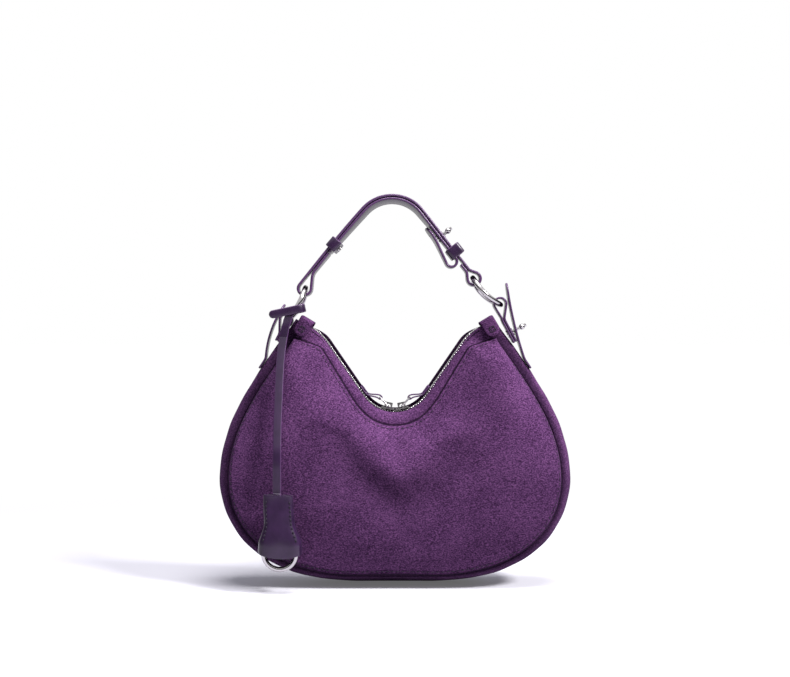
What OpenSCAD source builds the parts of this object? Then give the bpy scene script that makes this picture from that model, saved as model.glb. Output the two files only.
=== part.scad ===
// Half moon handbag: two suede panels, a side band, a curved zip, a buckled handle and a key bell.
// X runs along the bag, Y from its front to its back, and Z up from the ground it stands on.

/* [Body] */
// Outer width across the widest part of the bag
body_w = 300; // [280:1:330]
// Height from the ground to the tips of the two horns
body_h = 228; // [215:1:245]
// Width of the side band where it lies under the bag
band_w = 60; // [52:1:68]
// Width of the side band at the tips
band_tip_w = 18; // [16:1:20]
// How far the side band stands out past the panel seams
band_crown = 9; // [7:0.5:11]
// How far each panel swells past its seams
panel_swell = 13; // [8:0.5:16]
// Thickness of the suede
suede_t = 1.8; // [1.4:0.1:2.2]
// Thickness of the lining cloth
lining_t = 0.5; // [0.4:0.1:0.8]
// Width of the slip pocket on the lining
pocket_w = 110; // [80:1:130]
// Height of the slip pocket
pocket_h = 60; // [40:1:70]
// Thickness of the board in the base
board_t = 1.5; // [1:0.1:2]

/* [Mouth and zip] */
// Height of the zip at its lowest point
mouth_z = 147; // [140:1:154]
// Radius of the dip in the middle of the zip
mouth_r = 34; // [30:1:38]
// Half depth of the bag at the seam between panel and facing
mouth_half_d = 14; // [12:0.5:17]
// Half width of the slot that shows the zip
slot_half_w = 4.5; // [4.2:0.1:5.5]
// Thickness of the zip facings
facing_t = 1; // [0.8:0.1:1.2]
// Half width of the zip with its tapes
tape_half_w = 7.5; // [6.5:0.1:8]
// Thickness of a zip tape
tape_t = 0.6; // [0.4:0.1:0.7]
// Distance from one zip tooth to the next
tooth_pitch = 2.4; // [2:0.1:3.2]
// Width of one row of teeth
tooth_w = 2.3; // [1.8:0.1:2.6]
// Height of the teeth above the tape
tooth_h = 3; // [2.4:0.1:3.2]
// Length of a slider
slider_l = 13; // [10:0.5:14]
// Width of a slider
slider_w = 8; // [6.6:0.1:8.4]
// Thickness of a slider's plates
slider_t = 1.2; // [1:0.1:1.4]
// Thickness of the wire of bail and pull link
pull_wire = 1.4; // [1.2:0.1:1.6]
// Length of a pull from its pivot to its tip
pull_l = 34; // [30:1:38]
// Width of a leather pull
pull_w = 6.5; // [6:0.1:8]

/* [Handle] */
// How far the top of the handle stands above the tips of the horns
handle_rise = 106; // [97:1:122]
// Outer radius of the bend at the top of the handle
handle_r = 34; // [30:1:38]
// How much the left limb bends down further on its way to the ring
left_droop = 4; // [2:0.5:6]
// How much the right limb bends down further on its way to the ring
right_droop = 2; // [0:0.5:4]
// How far the middle of the handle lies to the right of the bag's middle
handle_shift = -2.6; // [-4:0.1:0]
// How far the left limb ends in from the tip of its horn, and above it
left_end_in = 3.1; // [0:0.1:5]
left_end_up = 29.5; // [28:0.5:33]
// How far the right limb ends in from the tip of its horn, and above it
right_end_in = 24.5; // [22:0.5:27]
right_end_up = 46.1; // [44:0.1:49]
// Width of the handle straps
strap_w = 18; // [16:0.5:19]
// Thickness of a handle strap
strap_t = 2.4; // [2:0.1:2.6]
// Diameter of a ring, from wire middle to wire middle
ring_d = 33.6; // [32.6:0.1:34.6]
// Thickness of the ring wire
ring_wire = 4.5; // [4:0.1:4.8]
// Slope of the left ring from level
left_ring_slope = 59; // [57:0.5:60]
// Slope of the right ring from level
right_ring_slope = 44; // [42:0.5:46]
// Space left round a ring in the loops that hold it
eye_play = 1.8; // [1.2:0.1:2]
// How far a ring is bent out of flat
ring_bow = 3.2; // [0:0.2:4]
// Length of a keeper along the strap
keeper_l = 10; // [8:0.5:11]
// Thickness of the leather of a keeper
keeper_t = 2.2; // [1.8:0.1:2.4]

/* [Side straps] */
// Width of ring tabs and side straps
tab_w = 16; // [14:0.5:17]
// Thickness of ring tabs and side straps
tab_t = 1.8; // [1.5:0.1:2]
// Lean of the right ring tab beyond half the lean of the flank's tip
right_tab_extra_lean = 10; // [9:0.5:12]
// Lean of the left ring tab beyond half the lean of the flank's tip
left_tab_extra_lean = 9; // [7:0.5:11]
// Free length of the right side strap
right_tail_l = 65; // [55:1:67]
// Free length of the left side strap
left_tail_l = 48; // [44:1:50]
// Lean of the right side strap at its foot, from upright
right_tail_lean = 18.5; // [17.5:0.5:19]
// How much the right side strap straightens up on its way to its end
right_tail_curl = 11; // [9:0.5:12]
// Lean of the left side strap at its foot, from upright
left_tail_lean = 5; // [4:0.5:7]
// How much the left side strap leans over further on its way to its end
left_tail_curl = 30; // [28:1:32]
// Width of a suede end tab
end_tab_w = 12.6; // [11:0.2:14]
// Length of a suede end tab from its fold to the middle of its round end
end_tab_l = 10.5; // [9:0.5:12]
// Diameter of the base of a stud
stud_d = 7; // [6:0.5:8]
// Diameter of the ball of a stud
stud_ball_d = 5.2; // [4.6:0.1:5.6]

/* [Key bell] */
// How far the top of the bell's strap lies out from the tip of the left horn, and below it
bell_top_out = 4; // [3:0.5:6]
bell_top_drop = 16; // [14:0.5:18]
// Height of the short upright between that place and the ring
bell_loop_h = 24.2; // [22:0.1:26]
// Width of the bell's strap
bell_strap_w = 7; // [6:0.5:8]
// Thickness of the bell's strap
bell_strap_t = 2; // [1.6:0.1:2.2]
// Width of the bell at its mouth
bell_w = 36; // [34:0.5:40]
// Width of the bell at its neck
bell_neck_w = 19; // [17:0.5:22]
// Height of the bell
bell_h = 56; // [50:1:60]
// Depth of the bell at its mouth
bell_d = 19; // [17:0.5:21]
// Thickness of the bell's leather
bell_t = 1.8; // [1.4:0.1:2.2]
// Outer diameter of the key ring
key_ring_d = 31; // [28:0.5:32]
// Thickness of the key ring
key_ring_wire = 4.4; // [3.6:0.1:4.8]

/* [Hidden] */

suede = [0.33, 0.14, 0.42];
smooth_leather = [0.25, 0.13, 0.32];
cloth = [0.20, 0.16, 0.24];
silver = [0.80, 0.79, 0.77];

// Clearances: between fixed pieces, between moving pieces, and the overrun of every cut
seat_gap = 0.2;
run_gap = 0.35;
over = 1;
// Facets of the round pieces, and steps of the sewn shells along and across the bag
fine = 64;
steps_along = 44;
steps_across = 10;
turn_step = 8;

half_w = body_w / 2;
// Outer line of the side band: where the flat base ends, then two curves up to the tip
base_share = 0.367;
corner_shares = [[base_share, 0], [0.7, 0], [1, 0.197], [1, 0.408]];
flank_shares = [[1, 0.408], [1, 0.614], [0.8, 0.789], [0.567, 1]];
// Seam between panel and facing: a curve under the mouth, then the two corners of the yoke
mouth_seam_shares = [[0, 0.603], [0.147, 0.603], [0.21, 0.667], [0.287, 0.754]];
yoke_shares = [[0.42, 0.897], [0.577, 0.931]];
// Corner of the zip's line at the foot of the yoke, and the end of the zip
shoulder_share = [0.44, 0.952];
zip_end_share = [0.519, 0.972];
// Share of the band's outline at which the panel's own point lies
panel_tip_share = 0.955;
// Shares of the crown under the base, and of the band that is flat in its middle
base_crown_share = 0.55;
band_flat_share = 0.35;
// Shares of its way to the seam that a facing covers, and of the base that the board covers
facing_share = 0.9;
board_share = 0.65;

function clamp01(t) = max(0, min(1, t));
function smooth(t) = let (c = clamp01(t)) c * c * (3 - 2 * c);
function mix(a, b, t) = a * (1 - t) + b * t;
function scaled(shares) = [for (p = shares) [p[0] * half_w, p[1] * body_h]];
function bezier(p, t) = pow(1 - t, 3) * p[0] + 3 * pow(1 - t, 2) * t * p[1]
    + 3 * (1 - t) * t * t * p[2] + pow(t, 3) * p[3];
function curve(p, n) = [for (i = [1:n]) bezier(p, i / n)];
// Distances along a line of points, and the point and outward normal at a share of its length
function distances(p) = [for (i = 0, a = 0; i < len(p);
    a = a + (i + 1 < len(p) ? norm(p[i + 1] - p[i]) : 0), i = i + 1) a];
function at(p, d, s) = let (
    l = clamp01(s) * d[len(d) - 1],
    k = min(len(d) - 2, max([for (i = [0:len(d) - 1]) if (d[i] <= l) i])))
    mix(p[k], p[k + 1], (l - d[k]) / (d[k + 1] - d[k]));
function right_of(a, b) = let (v = b - a) [v[1], -v[0]] / norm(v);
function across_at(p, d, s) = right_of(at(p, d, max(0, s - 0.01)), at(p, d, min(1, s + 0.01)));

band_line = concat([[0, 0]], [[base_share * half_w, 0]],
    curve(scaled(corner_shares), 16), curve(scaled(flank_shares), 16));
band_run = distances(band_line);
horn = band_line[len(band_line) - 1];
flank_lean = atan2((flank_shares[2][0] - flank_shares[3][0]) * half_w,
    (flank_shares[3][1] - flank_shares[2][1]) * body_h);
function crown(s) = band_crown * mix(base_crown_share, 1, smooth(s / 0.35));
function band_half(s) = mix(band_w, band_tip_w, smooth((s - 0.4) / 0.6)) / 2;
function band_edge(s) = at(band_line, band_run, s) - across_at(band_line, band_run, s) * crown(s);

mouth_seam = concat([scaled(mouth_seam_shares)[0]], curve(scaled(mouth_seam_shares), 12),
    scaled(yoke_shares));
facing_line = concat(mouth_seam, [band_edge(1)]);
seam_run = distances(mouth_seam);
facing_run = distances(facing_line);

// The zip lies on an arc, then on a straight limb that bends over a shoulder towards its end
mouth_top = mouth_z + mouth_r;
shoulder = scaled([shoulder_share])[0];
zip_end = scaled([zip_end_share])[0];
shoulder_reach = norm(shoulder - [0, mouth_top]);
zip_turn = atan2(shoulder[1] - mouth_top, shoulder[0]) + asin(mouth_r / shoulder_reach);
shoulder_bend = norm(zip_end - shoulder);
shoulder_start = shoulder - shoulder_bend * [cos(zip_turn), sin(zip_turn)];
zip_line = concat(
    [for (i = [0:16]) let (a = zip_turn * i / 16) [mouth_r * sin(a), mouth_top - mouth_r * cos(a)]],
    [for (i = [0:8]) let (t = i / 8)
        (1 - t) * (1 - t) * shoulder_start + 2 * t * (1 - t) * shoulder + t * t * zip_end]);
zip_run = distances(zip_line);
zip_half = zip_run[len(zip_run) - 1];
function zip_point(l, lift) = let (
    s = abs(l) / zip_half,
    q = at(zip_line, zip_run, s) - lift * across_at(zip_line, zip_run, s))
    [sign(l) * q[0], q[1]];
function zip_strip(lo, hi, n) = concat(
    [for (i = [0:n]) zip_point(zip_half * (2 * i / n - 1), lo)],
    [for (i = [n:-1:0]) zip_point(zip_half * (2 * i / n - 1), hi)]);

// Levels above the zip's line: tape, facing edge, teeth and slider
tape_top = -facing_t / 2;
facing_top = facing_t + seat_gap + tape_t / 2;
tooth_foot = tape_top + seat_gap / 2;
tooth_top = tape_top + tooth_h;
row_gap = tape_t;
plate_low = tooth_top + run_gap;
pivot_lift = plate_low + slider_t + pull_wire;

// A sewn shell: a grid of points is its outer face, and its inner face lies t behind it
function grid_normal(g, i, j) = let (
    a = g[min(i + 1, len(g) - 1)][j] - g[max(i - 1, 0)][j],
    b = g[i][min(j + 1, len(g[0]) - 1)] - g[i][max(j - 1, 0)],
    n = cross(a, b)) n / norm(n);
module sewn_shell(g, t) {
    rows = len(g);
    cols = len(g[0]);
    skin = rows * cols;
    points = concat([for (r = g) each r],
        [for (i = [0:rows - 1]) for (j = [0:cols - 1]) g[i][j] - t * grid_normal(g, i, j)]);
    quads = [for (i = [0:rows - 2]) for (j = [0:cols - 2]) let (k = i * cols + j)
        [k, k + 1, k + cols + 1, k + cols]];
    ring = concat([for (i = [0:rows - 1]) i * cols],
        [for (j = [1:cols - 1]) (rows - 1) * cols + j],
        [for (i = [rows - 2:-1:0]) i * cols + cols - 1],
        [for (j = [cols - 2:-1:1]) j]);
    rim = [for (i = [0:len(ring) - 1]) let (a = ring[i], b = ring[(i + 1) % len(ring)])
        [a, b, b + skin, a + skin]];
    four = concat(quads, [for (q = quads) [q[3] + skin, q[2] + skin, q[1] + skin, q[0] + skin]],
        rim);
    polyhedron(points, [for (q = four) each [[q[0], q[1], q[2]], [q[0], q[2], q[3]]]], 6);
}
function mirrored_grid(g) = [for (i = [len(g) - 1:-1:0]) [for (p = g[i]) [p[0], -p[1], p[2]]]];

// Half depth of the bag along the seam between panel and facing, and a panel's swell
function seam_half(s) = mix(mouth_half_d, band_tip_w / 2 + suede_t, s * s);
function swell(s, v) = panel_swell * pow(max(0, 1 - s * s), 0.6) * sin(180 * pow(v, 0.85));
function panel_point(t, v, inset) = let (
    s = abs(t),
    edge = band_edge(s * panel_tip_share),
    q = mix(at(mouth_seam, seam_run, s), edge, v),
    half = mix(seam_half(s), band_half(s * panel_tip_share) + seat_gap + suede_t, v))
    [sign(t) * q[0], -(half + swell(s, v) - inset), q[1]];
function panel_grid(inset, along, across, v_low) = [for (i = [0:along]) [for (j = [0:across])
    panel_point(2 * i / along - 1, mix(v_low, 1, j / across), inset)]];
module front_panel() {
    color(suede) sewn_shell(mirrored_grid(mirrored_grid(panel_grid(0, steps_along,
        steps_across, 0))), suede_t);
}
module back_panel() {
    color(suede) sewn_shell(mirrored_grid(panel_grid(0, steps_along, steps_across, 0)), suede_t);
}

// The band's cross-section is flat in its middle and falls away to both seams
band_shares = [-1, -0.85, -0.65, -0.35, 0.35, 0.65, 0.85, 1];
function band_point(t, w, inset) = let (
    s = abs(t),
    fall = pow(max(0, (abs(w) - band_flat_share) / (1 - band_flat_share)), 2),
    n = across_at(band_line, band_run, s),
    q = at(band_line, band_run, s) - n * (crown(s) * fall + inset))
    [sign(t) * q[0], w * band_half(s), q[1]];
function band_grid(inset, along) = [for (i = [along:-1:0])
    [for (w = band_shares) band_point(2 * i / along - 1, w, inset)]];
module side_band() {
    color(suede) sewn_shell(band_grid(0, 56), suede_t);
}

// A facing leaves the zip level and rolls over to the panel's seam
function facing_point(t, v) = let (
    s = abs(t),
    top = zip_point(s * zip_half, facing_top),
    q = mix(top, at(facing_line, facing_run, s), (1 - cos(90 * v)) * facing_share))
    [sign(t) * q[0], -mix(slot_half_w, seam_half(s), sin(90 * v)), q[1]];
facing_grid = [for (i = [0:steps_along]) [for (j = [0:4])
    facing_point(2 * i / steps_along - 1, j / 4)]];
module front_facing() {
    color(suede) sewn_shell(facing_grid, facing_t);
}
module back_facing() {
    color(suede) sewn_shell(mirrored_grid(facing_grid), facing_t);
}

// Pieces cut as an outline in the plane of the bag's front, then w deep
module deep(w, from = undef) {
    rotate([90, 0, 0]) translate([0, 0, is_undef(from) ? -w / 2 : from])
        linear_extrude(w) children();
}
module zip_tape(side) {
    color(cloth) deep(tape_half_w - row_gap, side > 0 ? row_gap : -tape_half_w)
        polygon(zip_strip(tape_top - tape_t, tape_top, 64));
}
module front_zip_tape() {
    zip_tape(1);
}
module back_zip_tape() {
    zip_tape(-1);
}
// Each row of teeth is a rack: a low bead with a raised tooth in every pitch
teeth = 2 * floor(zip_half / tooth_pitch) - 4;
module zip_teeth(side, shift) {
    start = -teeth * tooth_pitch / 2 + shift * tooth_pitch;
    low = mix(tooth_foot, tooth_top, 0.4);
    top = [for (i = [0:teeth - 1]) for (c = [[0, low], [0.1, tooth_top], [0.5, tooth_top],
        [0.6, low]]) zip_point(start + (i + c[0]) * tooth_pitch, c[1])];
    foot = [for (i = [teeth:-1:0]) zip_point(start + i * tooth_pitch, tooth_foot)];
    color(silver) deep(tooth_w, side > 0 ? row_gap : -row_gap - tooth_w)
        polygon(concat(top, foot));
}
module front_zip_teeth() {
    zip_teeth(1, 0);
}
module back_zip_teeth() {
    zip_teeth(-1, 0.5);
}
module zip_end_stops() {
    reach = teeth * tooth_pitch / 2 + tooth_pitch;
    color(silver) for (side = [-1, 1]) {
        a = zip_point(side * (reach + seat_gap), tooth_foot);
        b = zip_point(side * (reach + seat_gap + tooth_pitch), tooth_foot);
        c = zip_point(side * (reach + seat_gap + tooth_pitch), tooth_top);
        d = zip_point(side * (reach + seat_gap), tooth_top);
        deep(2 * (row_gap + tooth_w)) polygon([a, b, c, d]);
    }
}

// A suede tab folded over each end of the zip: two leaves with round ends, joined by the fold
// The left one sits a little nearer to the middle than the right one
right_tab_top_shares = [0.517, 1.001];
left_tab_top_shares = [0.494, 1.001];
end_tab_turn = -121;
end_tab_half = seam_half(0.7) + seat_gap;
module end_tab(side) {
    top = scaled([side > 0 ? right_tab_top_shares : left_tab_top_shares])[0];
    color(suede) mirror([side > 0 ? 0 : 1, 0, 0])
        translate([top[0], 0, top[1]]) rotate([0, end_tab_turn, 0])
        difference() {
            deep(2 * (end_tab_half + suede_t)) union() {
                translate([-end_tab_l, -end_tab_w / 2]) square([end_tab_l, end_tab_w]);
                translate([-end_tab_l, 0]) circle(d = end_tab_w, $fn = fine);
            }
            deep(2 * end_tab_half)
                translate([-end_tab_l - end_tab_w, -end_tab_w])
                    square([end_tab_l + end_tab_w - suede_t, 2 * end_tab_w]);
        }
}
module left_end_tab() {
    end_tab(-1);
}
module right_end_tab() {
    end_tab(1);
}

// The lining is a second, thinner bag that hangs a little way inside the first
lining_gap = 1.2;
lining_inset = suede_t + lining_gap;
module lining() {
    low = 0.1;
    g = panel_grid(lining_inset, 24, 5, low);
    inner = [for (r = g) [for (p = r) [p[0] * 0.985, p[1], mix(mouth_z * 0.6, p[2], 0.975)]]];
    color(cloth) {
        sewn_shell(inner, lining_t);
        sewn_shell(mirrored_grid(inner), lining_t);
    }
}
pocket_z = 0.17 * body_h;
module slip_pocket() {
    color(cloth) translate([-pocket_w / 2, band_w / 2 - lining_inset, pocket_z])
        cube([pocket_w, lining_t, pocket_h]);
}
board_lift = crown(0) * pow((board_share - band_flat_share) / (1 - band_flat_share), 2);
module base_board() {
    color(cloth) translate([-base_share * half_w, -board_share * band_w / 2,
        suede_t + board_lift + 2 * run_gap])
        cube([2 * base_share * half_w, board_share * band_w, board_t]);
}

// A strap's line is a trail of moves, each a length and the angle turned on the way
function trail(p, a, moves, i = 0) = i == len(moves) ? [p] : let (
    l = moves[i][0],
    turn = moves[i][1],
    n = turn == 0 ? 1 : max(ceil(abs(turn) / turn_step), ceil(l / strap_w)),
    r = turn == 0 ? 0 : l / (turn * PI / 180),
    step = [for (k = [0:n]) turn == 0 ? p + l * k / n * [cos(a), sin(a)]
        : p + r * [sin(a + turn * k / n) - sin(a), cos(a) - cos(a + turn * k / n)]])
    concat([for (k = [0:n - 1]) step[k]], trail(step[n], a + turn, moves, i + 1));
function offset_line(p, d) = [for (i = [0:len(p) - 1])
    p[i] + d * right_of(p[max(0, i - 1)], p[min(len(p) - 1, i + 1)])];
function strap_outline(p, t) = let (q = offset_line(p, -t / 2), r = offset_line(p, t / 2))
    concat(q, [for (i = [len(r) - 1:-1:0]) r[i]]);
module strap(p, t, w) {
    deep(w) polygon(strap_outline(p, t));
}
function reversed(p) = [for (i = [len(p) - 1:-1:0]) p[i]];
function rest(p) = [for (i = [1:len(p) - 1]) p[i]];

// A loop round a bar: the strap swings out, goes round and comes back beside itself.
// r is the radius of its middle line, lap the distance between the two layers.
loop_veer = 20;
function loop_side(r, lap, bend) =
    (r * cos(loop_veer) - lap / 2 - bend * (1 - cos(loop_veer))) / sin(loop_veer);
function loop_moves(r, lap, bend, hand) = let (
    veer = [bend * loop_veer * PI / 180, hand * loop_veer],
    side = [loop_side(r, lap, bend), 0])
    [veer, side, [r * (180 + 2 * loop_veer) * PI / 180, -hand * (180 + 2 * loop_veer)], side,
     veer];
function loop_reach(r, lap, bend) = bend * sin(loop_veer)
    + loop_side(r, lap, bend) * cos(loop_veer) + r * sin(loop_veer);

// A fold round a bar with its first layer straight: the second swings in until it lies beside it
function fold_side(r, lap, bend, veer) = (r * (1 + cos(veer)) - bend * (1 - cos(veer)) - lap)
    / sin(veer);
function fold_reach(r, lap, bend, veer) = (r + bend) * sin(veer)
    + fold_side(r, lap, bend, veer) * cos(veer);
function fold_moves(r, lap, bend, veer, hand) = [[r * (180 + veer) * PI / 180, -hand * (180 + veer)],
    [fold_side(r, lap, bend, veer), 0], [bend * veer * PI / 180, hand * veer]];

eye_r = ring_wire / 2 + run_gap + eye_play;
lap_gap = seat_gap + run_gap / 2;
strap_lap = strap_t + lap_gap;
strap_eye = eye_r + strap_t / 2;
arch_r = handle_r - strap_t / 2;
handle_top = [handle_shift, body_h + handle_rise - strap_t / 2];
strap_reach = loop_reach(strap_eye, strap_lap, strap_eye);
return_l = 12;
function droop(side) = side > 0 ? right_droop : left_droop;
// A limb leaves the bend as a tangent and ends at its place beside the horn, which gives its
// slope at the bend and its length; v leads from the middle of the bend to that place
function limb_way(side) = let (
    end = side > 0 ? [horn[0] - right_end_in, horn[1] + right_end_up]
        : [left_end_in - horn[0], horn[1] + left_end_up],
    v = [side * (end[0] - handle_top[0]), end[1] - handle_top[1] + arch_r],
    half = droop(side) / 2,
    open = acos(arch_r * cos(half) / norm(v)),
    chord = norm(v) * sin(open) + arch_r * sin(half))
    [atan2(v[0], v[1]) - open - half, half == 0 ? chord : chord * half * PI / 180 / sin(half)];
left_way = limb_way(-1);
right_way = limb_way(1);
left_lean = left_way[0];
left_limb = left_way[1];
right_lean = right_way[0];
right_limb = right_way[1];
function limb(side) = side > 0 ? right_limb : left_limb;
function lean(side) = side > 0 ? right_lean : left_lean;
function arch_l(side, d) = (arch_r - d) * lean(side) * PI / 180;
function outer_half(side, back) = trail(handle_top, side > 0 ? 0 : 180, concat(
    [[arch_l(side, 0), -side * lean(side)], [limb(side), -side * droop(side)]],
    side > 0 ? loop_moves(strap_eye, strap_lap, strap_eye, 1)
        : fold_moves(strap_eye, strap_lap + lap_gap, 2 * strap_eye, loop_veer, -1),
    [[back, side * droop(side) * back / limb(side)]]));
// Slope of a limb at distance l from the arch, and the point d inside the outer strap's middle
function limb_slope(side, l) = lean(side) + droop(side) * min(1, l / limb(side));
function limb_point(side, l, d) = let (
    bent = min(l, limb(side)),
    line = trail(handle_top, side > 0 ? 0 : 180, [[arch_l(side, 0), -side * lean(side)],
        [bent, -side * droop(side) * bent / limb(side)], [l - bent, 0]]),
    a = limb_slope(side, l))
    line[len(line) - 1] - d * [side * sin(a), cos(a)];
left_eye = limb_point(-1, left_limb, strap_eye);
right_eye = limb_point(1, right_limb + strap_reach, strap_lap / 2);

keeper_play = run_gap;
// Radius of the turn of the inner strap's tail
turn_r = (strap_t + keeper_t + lap_gap) * 0.95;
right_keeper_slack = keeper_t * 1.5;
left_keeper_l = 0.465 * left_limb;
right_keeper_l = right_limb - keeper_l / 2 - turn_r - strap_t - return_l / 4;
stud_l = 0.46 * right_limb;
shank_d = stud_d / 2.4;
module stud_hole(l) {
    p = limb_point(1, l, 0);
    translate([p[0], 0, p[1]]) rotate([0, limb_slope(1, l), 0])
        cylinder(h = 4 * handle_r, d = shank_d + 2 * run_gap, center = true, $fn = fine);
}
module handle_outer_strap() {
    left_return = left_limb - left_keeper_l - keeper_l / 2 - return_l / 4 - run_gap
        - fold_reach(strap_eye, strap_lap + lap_gap, 2 * strap_eye, loop_veer);
    color(smooth_leather) difference() {
        strap(concat(reversed(outer_half(-1, left_return)), rest(outer_half(1, return_l / 4))),
            strap_t, strap_w);
        stud_hole(stud_l);
    }
}
// The inner strap ends in a turned back tail that goes round the right keeper
inner_top = handle_top - [0, strap_lap];
tail_veer = 13;
module handle_inner_strap() {
    left_l = left_keeper_l + keeper_l / 2 + return_l / 4;
    right_l = right_keeper_l + keeper_l / 2;
    left = trail(inner_top, 180, [[arch_l(-1, strap_lap), left_lean],
        [left_l, left_droop * left_l / left_limb]]);
    right = trail(inner_top, 0, concat([[arch_l(1, strap_lap), -right_lean],
        [right_l, -right_droop * right_l / right_limb]],
        fold_moves(turn_r, strap_lap + strap_t / 2, 3 * strap_w, tail_veer, 1),
        [[return_l / 2, 0]]));
    color(smooth_leather) difference() {
        strap(concat(reversed(left), rest(right)), strap_t, strap_w);
        stud_hole(stud_l);
    }
}

// A ring is a round wire bent a little out of flat, so it follows from two angles
ring_steps = 36;
wire_sides = 10;
function ring_line(a) = let (r = ring_d / 2) [r * cos(a), r * sin(a),
    ring_bow * (1 - pow(cos(a), 2))];
module ring() {
    points = [for (i = [0:ring_steps - 1]) let (
        a = 360 * i / ring_steps,
        c = ring_line(a),
        d = ring_line(a + 0.5) - ring_line(a - 0.5),
        up = cross(d, [cos(a), sin(a), 0]) / norm(cross(d, [cos(a), sin(a), 0])),
        out = cross(up, d) / norm(d))
        for (k = [0:wire_sides - 1]) c + ring_wire / 2
            * (cos(360 * k / wire_sides) * out + sin(360 * k / wire_sides) * up)];
    faces = [for (i = [0:ring_steps - 1]) for (k = [0:wire_sides - 1]) let (
        i2 = (i + 1) % ring_steps,
        k2 = (k + 1) % wire_sides,
        q = [i * wire_sides + k, i2 * wire_sides + k, i2 * wire_sides + k2,
            i * wire_sides + k2]) each [[q[0], q[1], q[2]], [q[0], q[2], q[3]]]];
    polyhedron(points, faces, 6);
}
// The eyes of the ring tabs lie where the rings' lower ends hang in them
function eye_shift(w) = (ring_d - sqrt(ring_d * ring_d - w * w)) / 4;
eye_reach = ring_d - eye_shift(strap_w) - eye_shift(tab_w);
right_tab_eye = right_eye + eye_reach * [cos(right_ring_slope), -sin(right_ring_slope)];
left_tab_eye = left_eye - eye_reach * [cos(left_ring_slope), sin(left_ring_slope)];
function ring_middle(a, b) = let (d = (b - a) / norm(b - a))
    (a + b) / 2 + d * (eye_shift(tab_w) - eye_shift(strap_w)) / 2;
module ring_place(upper, lower, side) {
    middle = ring_middle(upper, lower);
    slope = atan2(side * (upper[1] - lower[1]), side * (upper[0] - lower[0]));
    translate([middle[0], 0, middle[1]]) rotate([0, -slope, 0]) children();
}
module left_ring() {
    color(silver) ring_place(left_eye, left_tab_eye, -1) ring();
}
module right_ring() {
    color(silver) ring_place(right_eye, right_tab_eye, 1) ring();
}

// A keeper is a leather band round the straps, placed in the limb's own directions
module on_limb(side, l) {
    p = limb_point(side, l, strap_lap / 2);
    translate([p[0], 0, p[1]]) rotate([0, side * limb_slope(side, l), 0]) children();
}
keeper_in_h = strap_lap + strap_t + 2 * keeper_play;
keeper_in_w = strap_w + 2 * keeper_play;
module keeper(slack) {
    h = keeper_in_h + slack;
    color(smooth_leather) translate([0, 0, slack / 2]) difference() {
        cube([keeper_l, keeper_in_w + 2 * keeper_t, h + 2 * keeper_t], center = true);
        cube([keeper_l + 2 * over, keeper_in_w, h], center = true);
    }
}
module left_keeper() {
    on_limb(-1, left_keeper_l) keeper(0);
}
module right_keeper() {
    on_limb(1, right_keeper_l) keeper(right_keeper_slack);
}
rivet_h = keeper_t * 0.8;
module left_keeper_rivet() {
    color(silver) on_limb(-1, left_keeper_l)
        translate([0, -strap_w / 5, -keeper_in_h / 2 - keeper_t - rivet_h])
        cylinder(h = rivet_h, d = stud_d * 0.75, $fn = fine);
}

// A stud: base, neck, ball and a small tip, turned as one profile
module stud(neck) {
    base_h = stud_d * 0.12;
    ball = stud_ball_d / 2;
    top = base_h + neck + stud_ball_d * 0.9;
    color(silver) rotate_extrude($fn = fine) difference() {
        union() {
            square([stud_d / 2, base_h]);
            square([shank_d / 2, top + ball * 0.6]);
            translate([0, base_h + neck + ball * 0.9]) circle(r = ball, $fn = fine);
        }
        translate([-stud_d, -over]) square([stud_d, 4 * top]);
    }
}
// The screw behind a stud: a flat head and a shank that fills the hole up to the stud's base
module stud_screw(grip) {
    head_h = stud_d * 0.12;
    color(silver) {
        translate([0, 0, -head_h]) cylinder(h = head_h, d = stud_d, $fn = fine);
        cylinder(h = grip, d = shank_d, $fn = fine);
    }
}
module handle_stud() {
    on_limb(1, stud_l) translate([0, 0, strap_lap / 2 + strap_t / 2 + seat_gap])
        stud(strap_t);
}
module handle_stud_screw() {
    on_limb(1, stud_l) translate([0, 0, -strap_lap / 2 - strap_t / 2 - seat_gap / 2])
        stud_screw(strap_lap + strap_t + seat_gap);
}

// Ring tabs: a strap folded round the ring, both layers sewn to the side band
tab_lap = tab_t + lap_gap;
tab_eye = eye_r + tab_t / 2;
tab_leg = 20;
right_tab_lean = flank_lean / 2 + right_tab_extra_lean;
left_tab_lean = flank_lean / 2 + left_tab_extra_lean;
tab_bend_r = tab_w / 2;
// The loop hangs straighter than its legs: both layers bend by the kink below the loop's neck
right_tab_kink = 16;
left_tab_kink = 6;
function tab_kink(side) = side > 0 ? right_tab_kink : left_tab_kink;
tab_neck = loop_reach(tab_eye, tab_lap, tab_eye);
function tab_axis(side, eye, lean, off) = let (a = 270 + side * (lean - tab_kink(side)))
    eye + tab_neck * [cos(a), sin(a)] + off * [sin(a), -cos(a)];
function tab_layer(side, eye, lean, leg, off) = trail(tab_axis(side, eye, lean, off),
    270 + side * (lean - tab_kink(side)),
    [[(tab_bend_r + side * off) * tab_kink(side) * PI / 180, side * tab_kink(side)], [leg, 0]]);
module ring_tab(side, eye, lean, leg, hole) {
    near = tab_layer(side, eye, lean, leg, side * tab_lap / 2);
    far = tab_layer(side, eye, lean, leg, -side * tab_lap / 2);
    loop = trail(near[0], 90 + side * (lean - tab_kink(side)),
        loop_moves(tab_eye, tab_lap, tab_eye, side));
    color(smooth_leather) difference() {
        strap(concat(reversed(near), rest(loop), rest(far)), tab_t, tab_w);
        if (hole) {
            side_stud_place() cylinder(h = 4 * tab_w, d = shank_d + 2 * run_gap, center = true,
                $fn = fine);
        }
    }
}
side_stud_leg = 0.55 * tab_leg;
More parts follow.
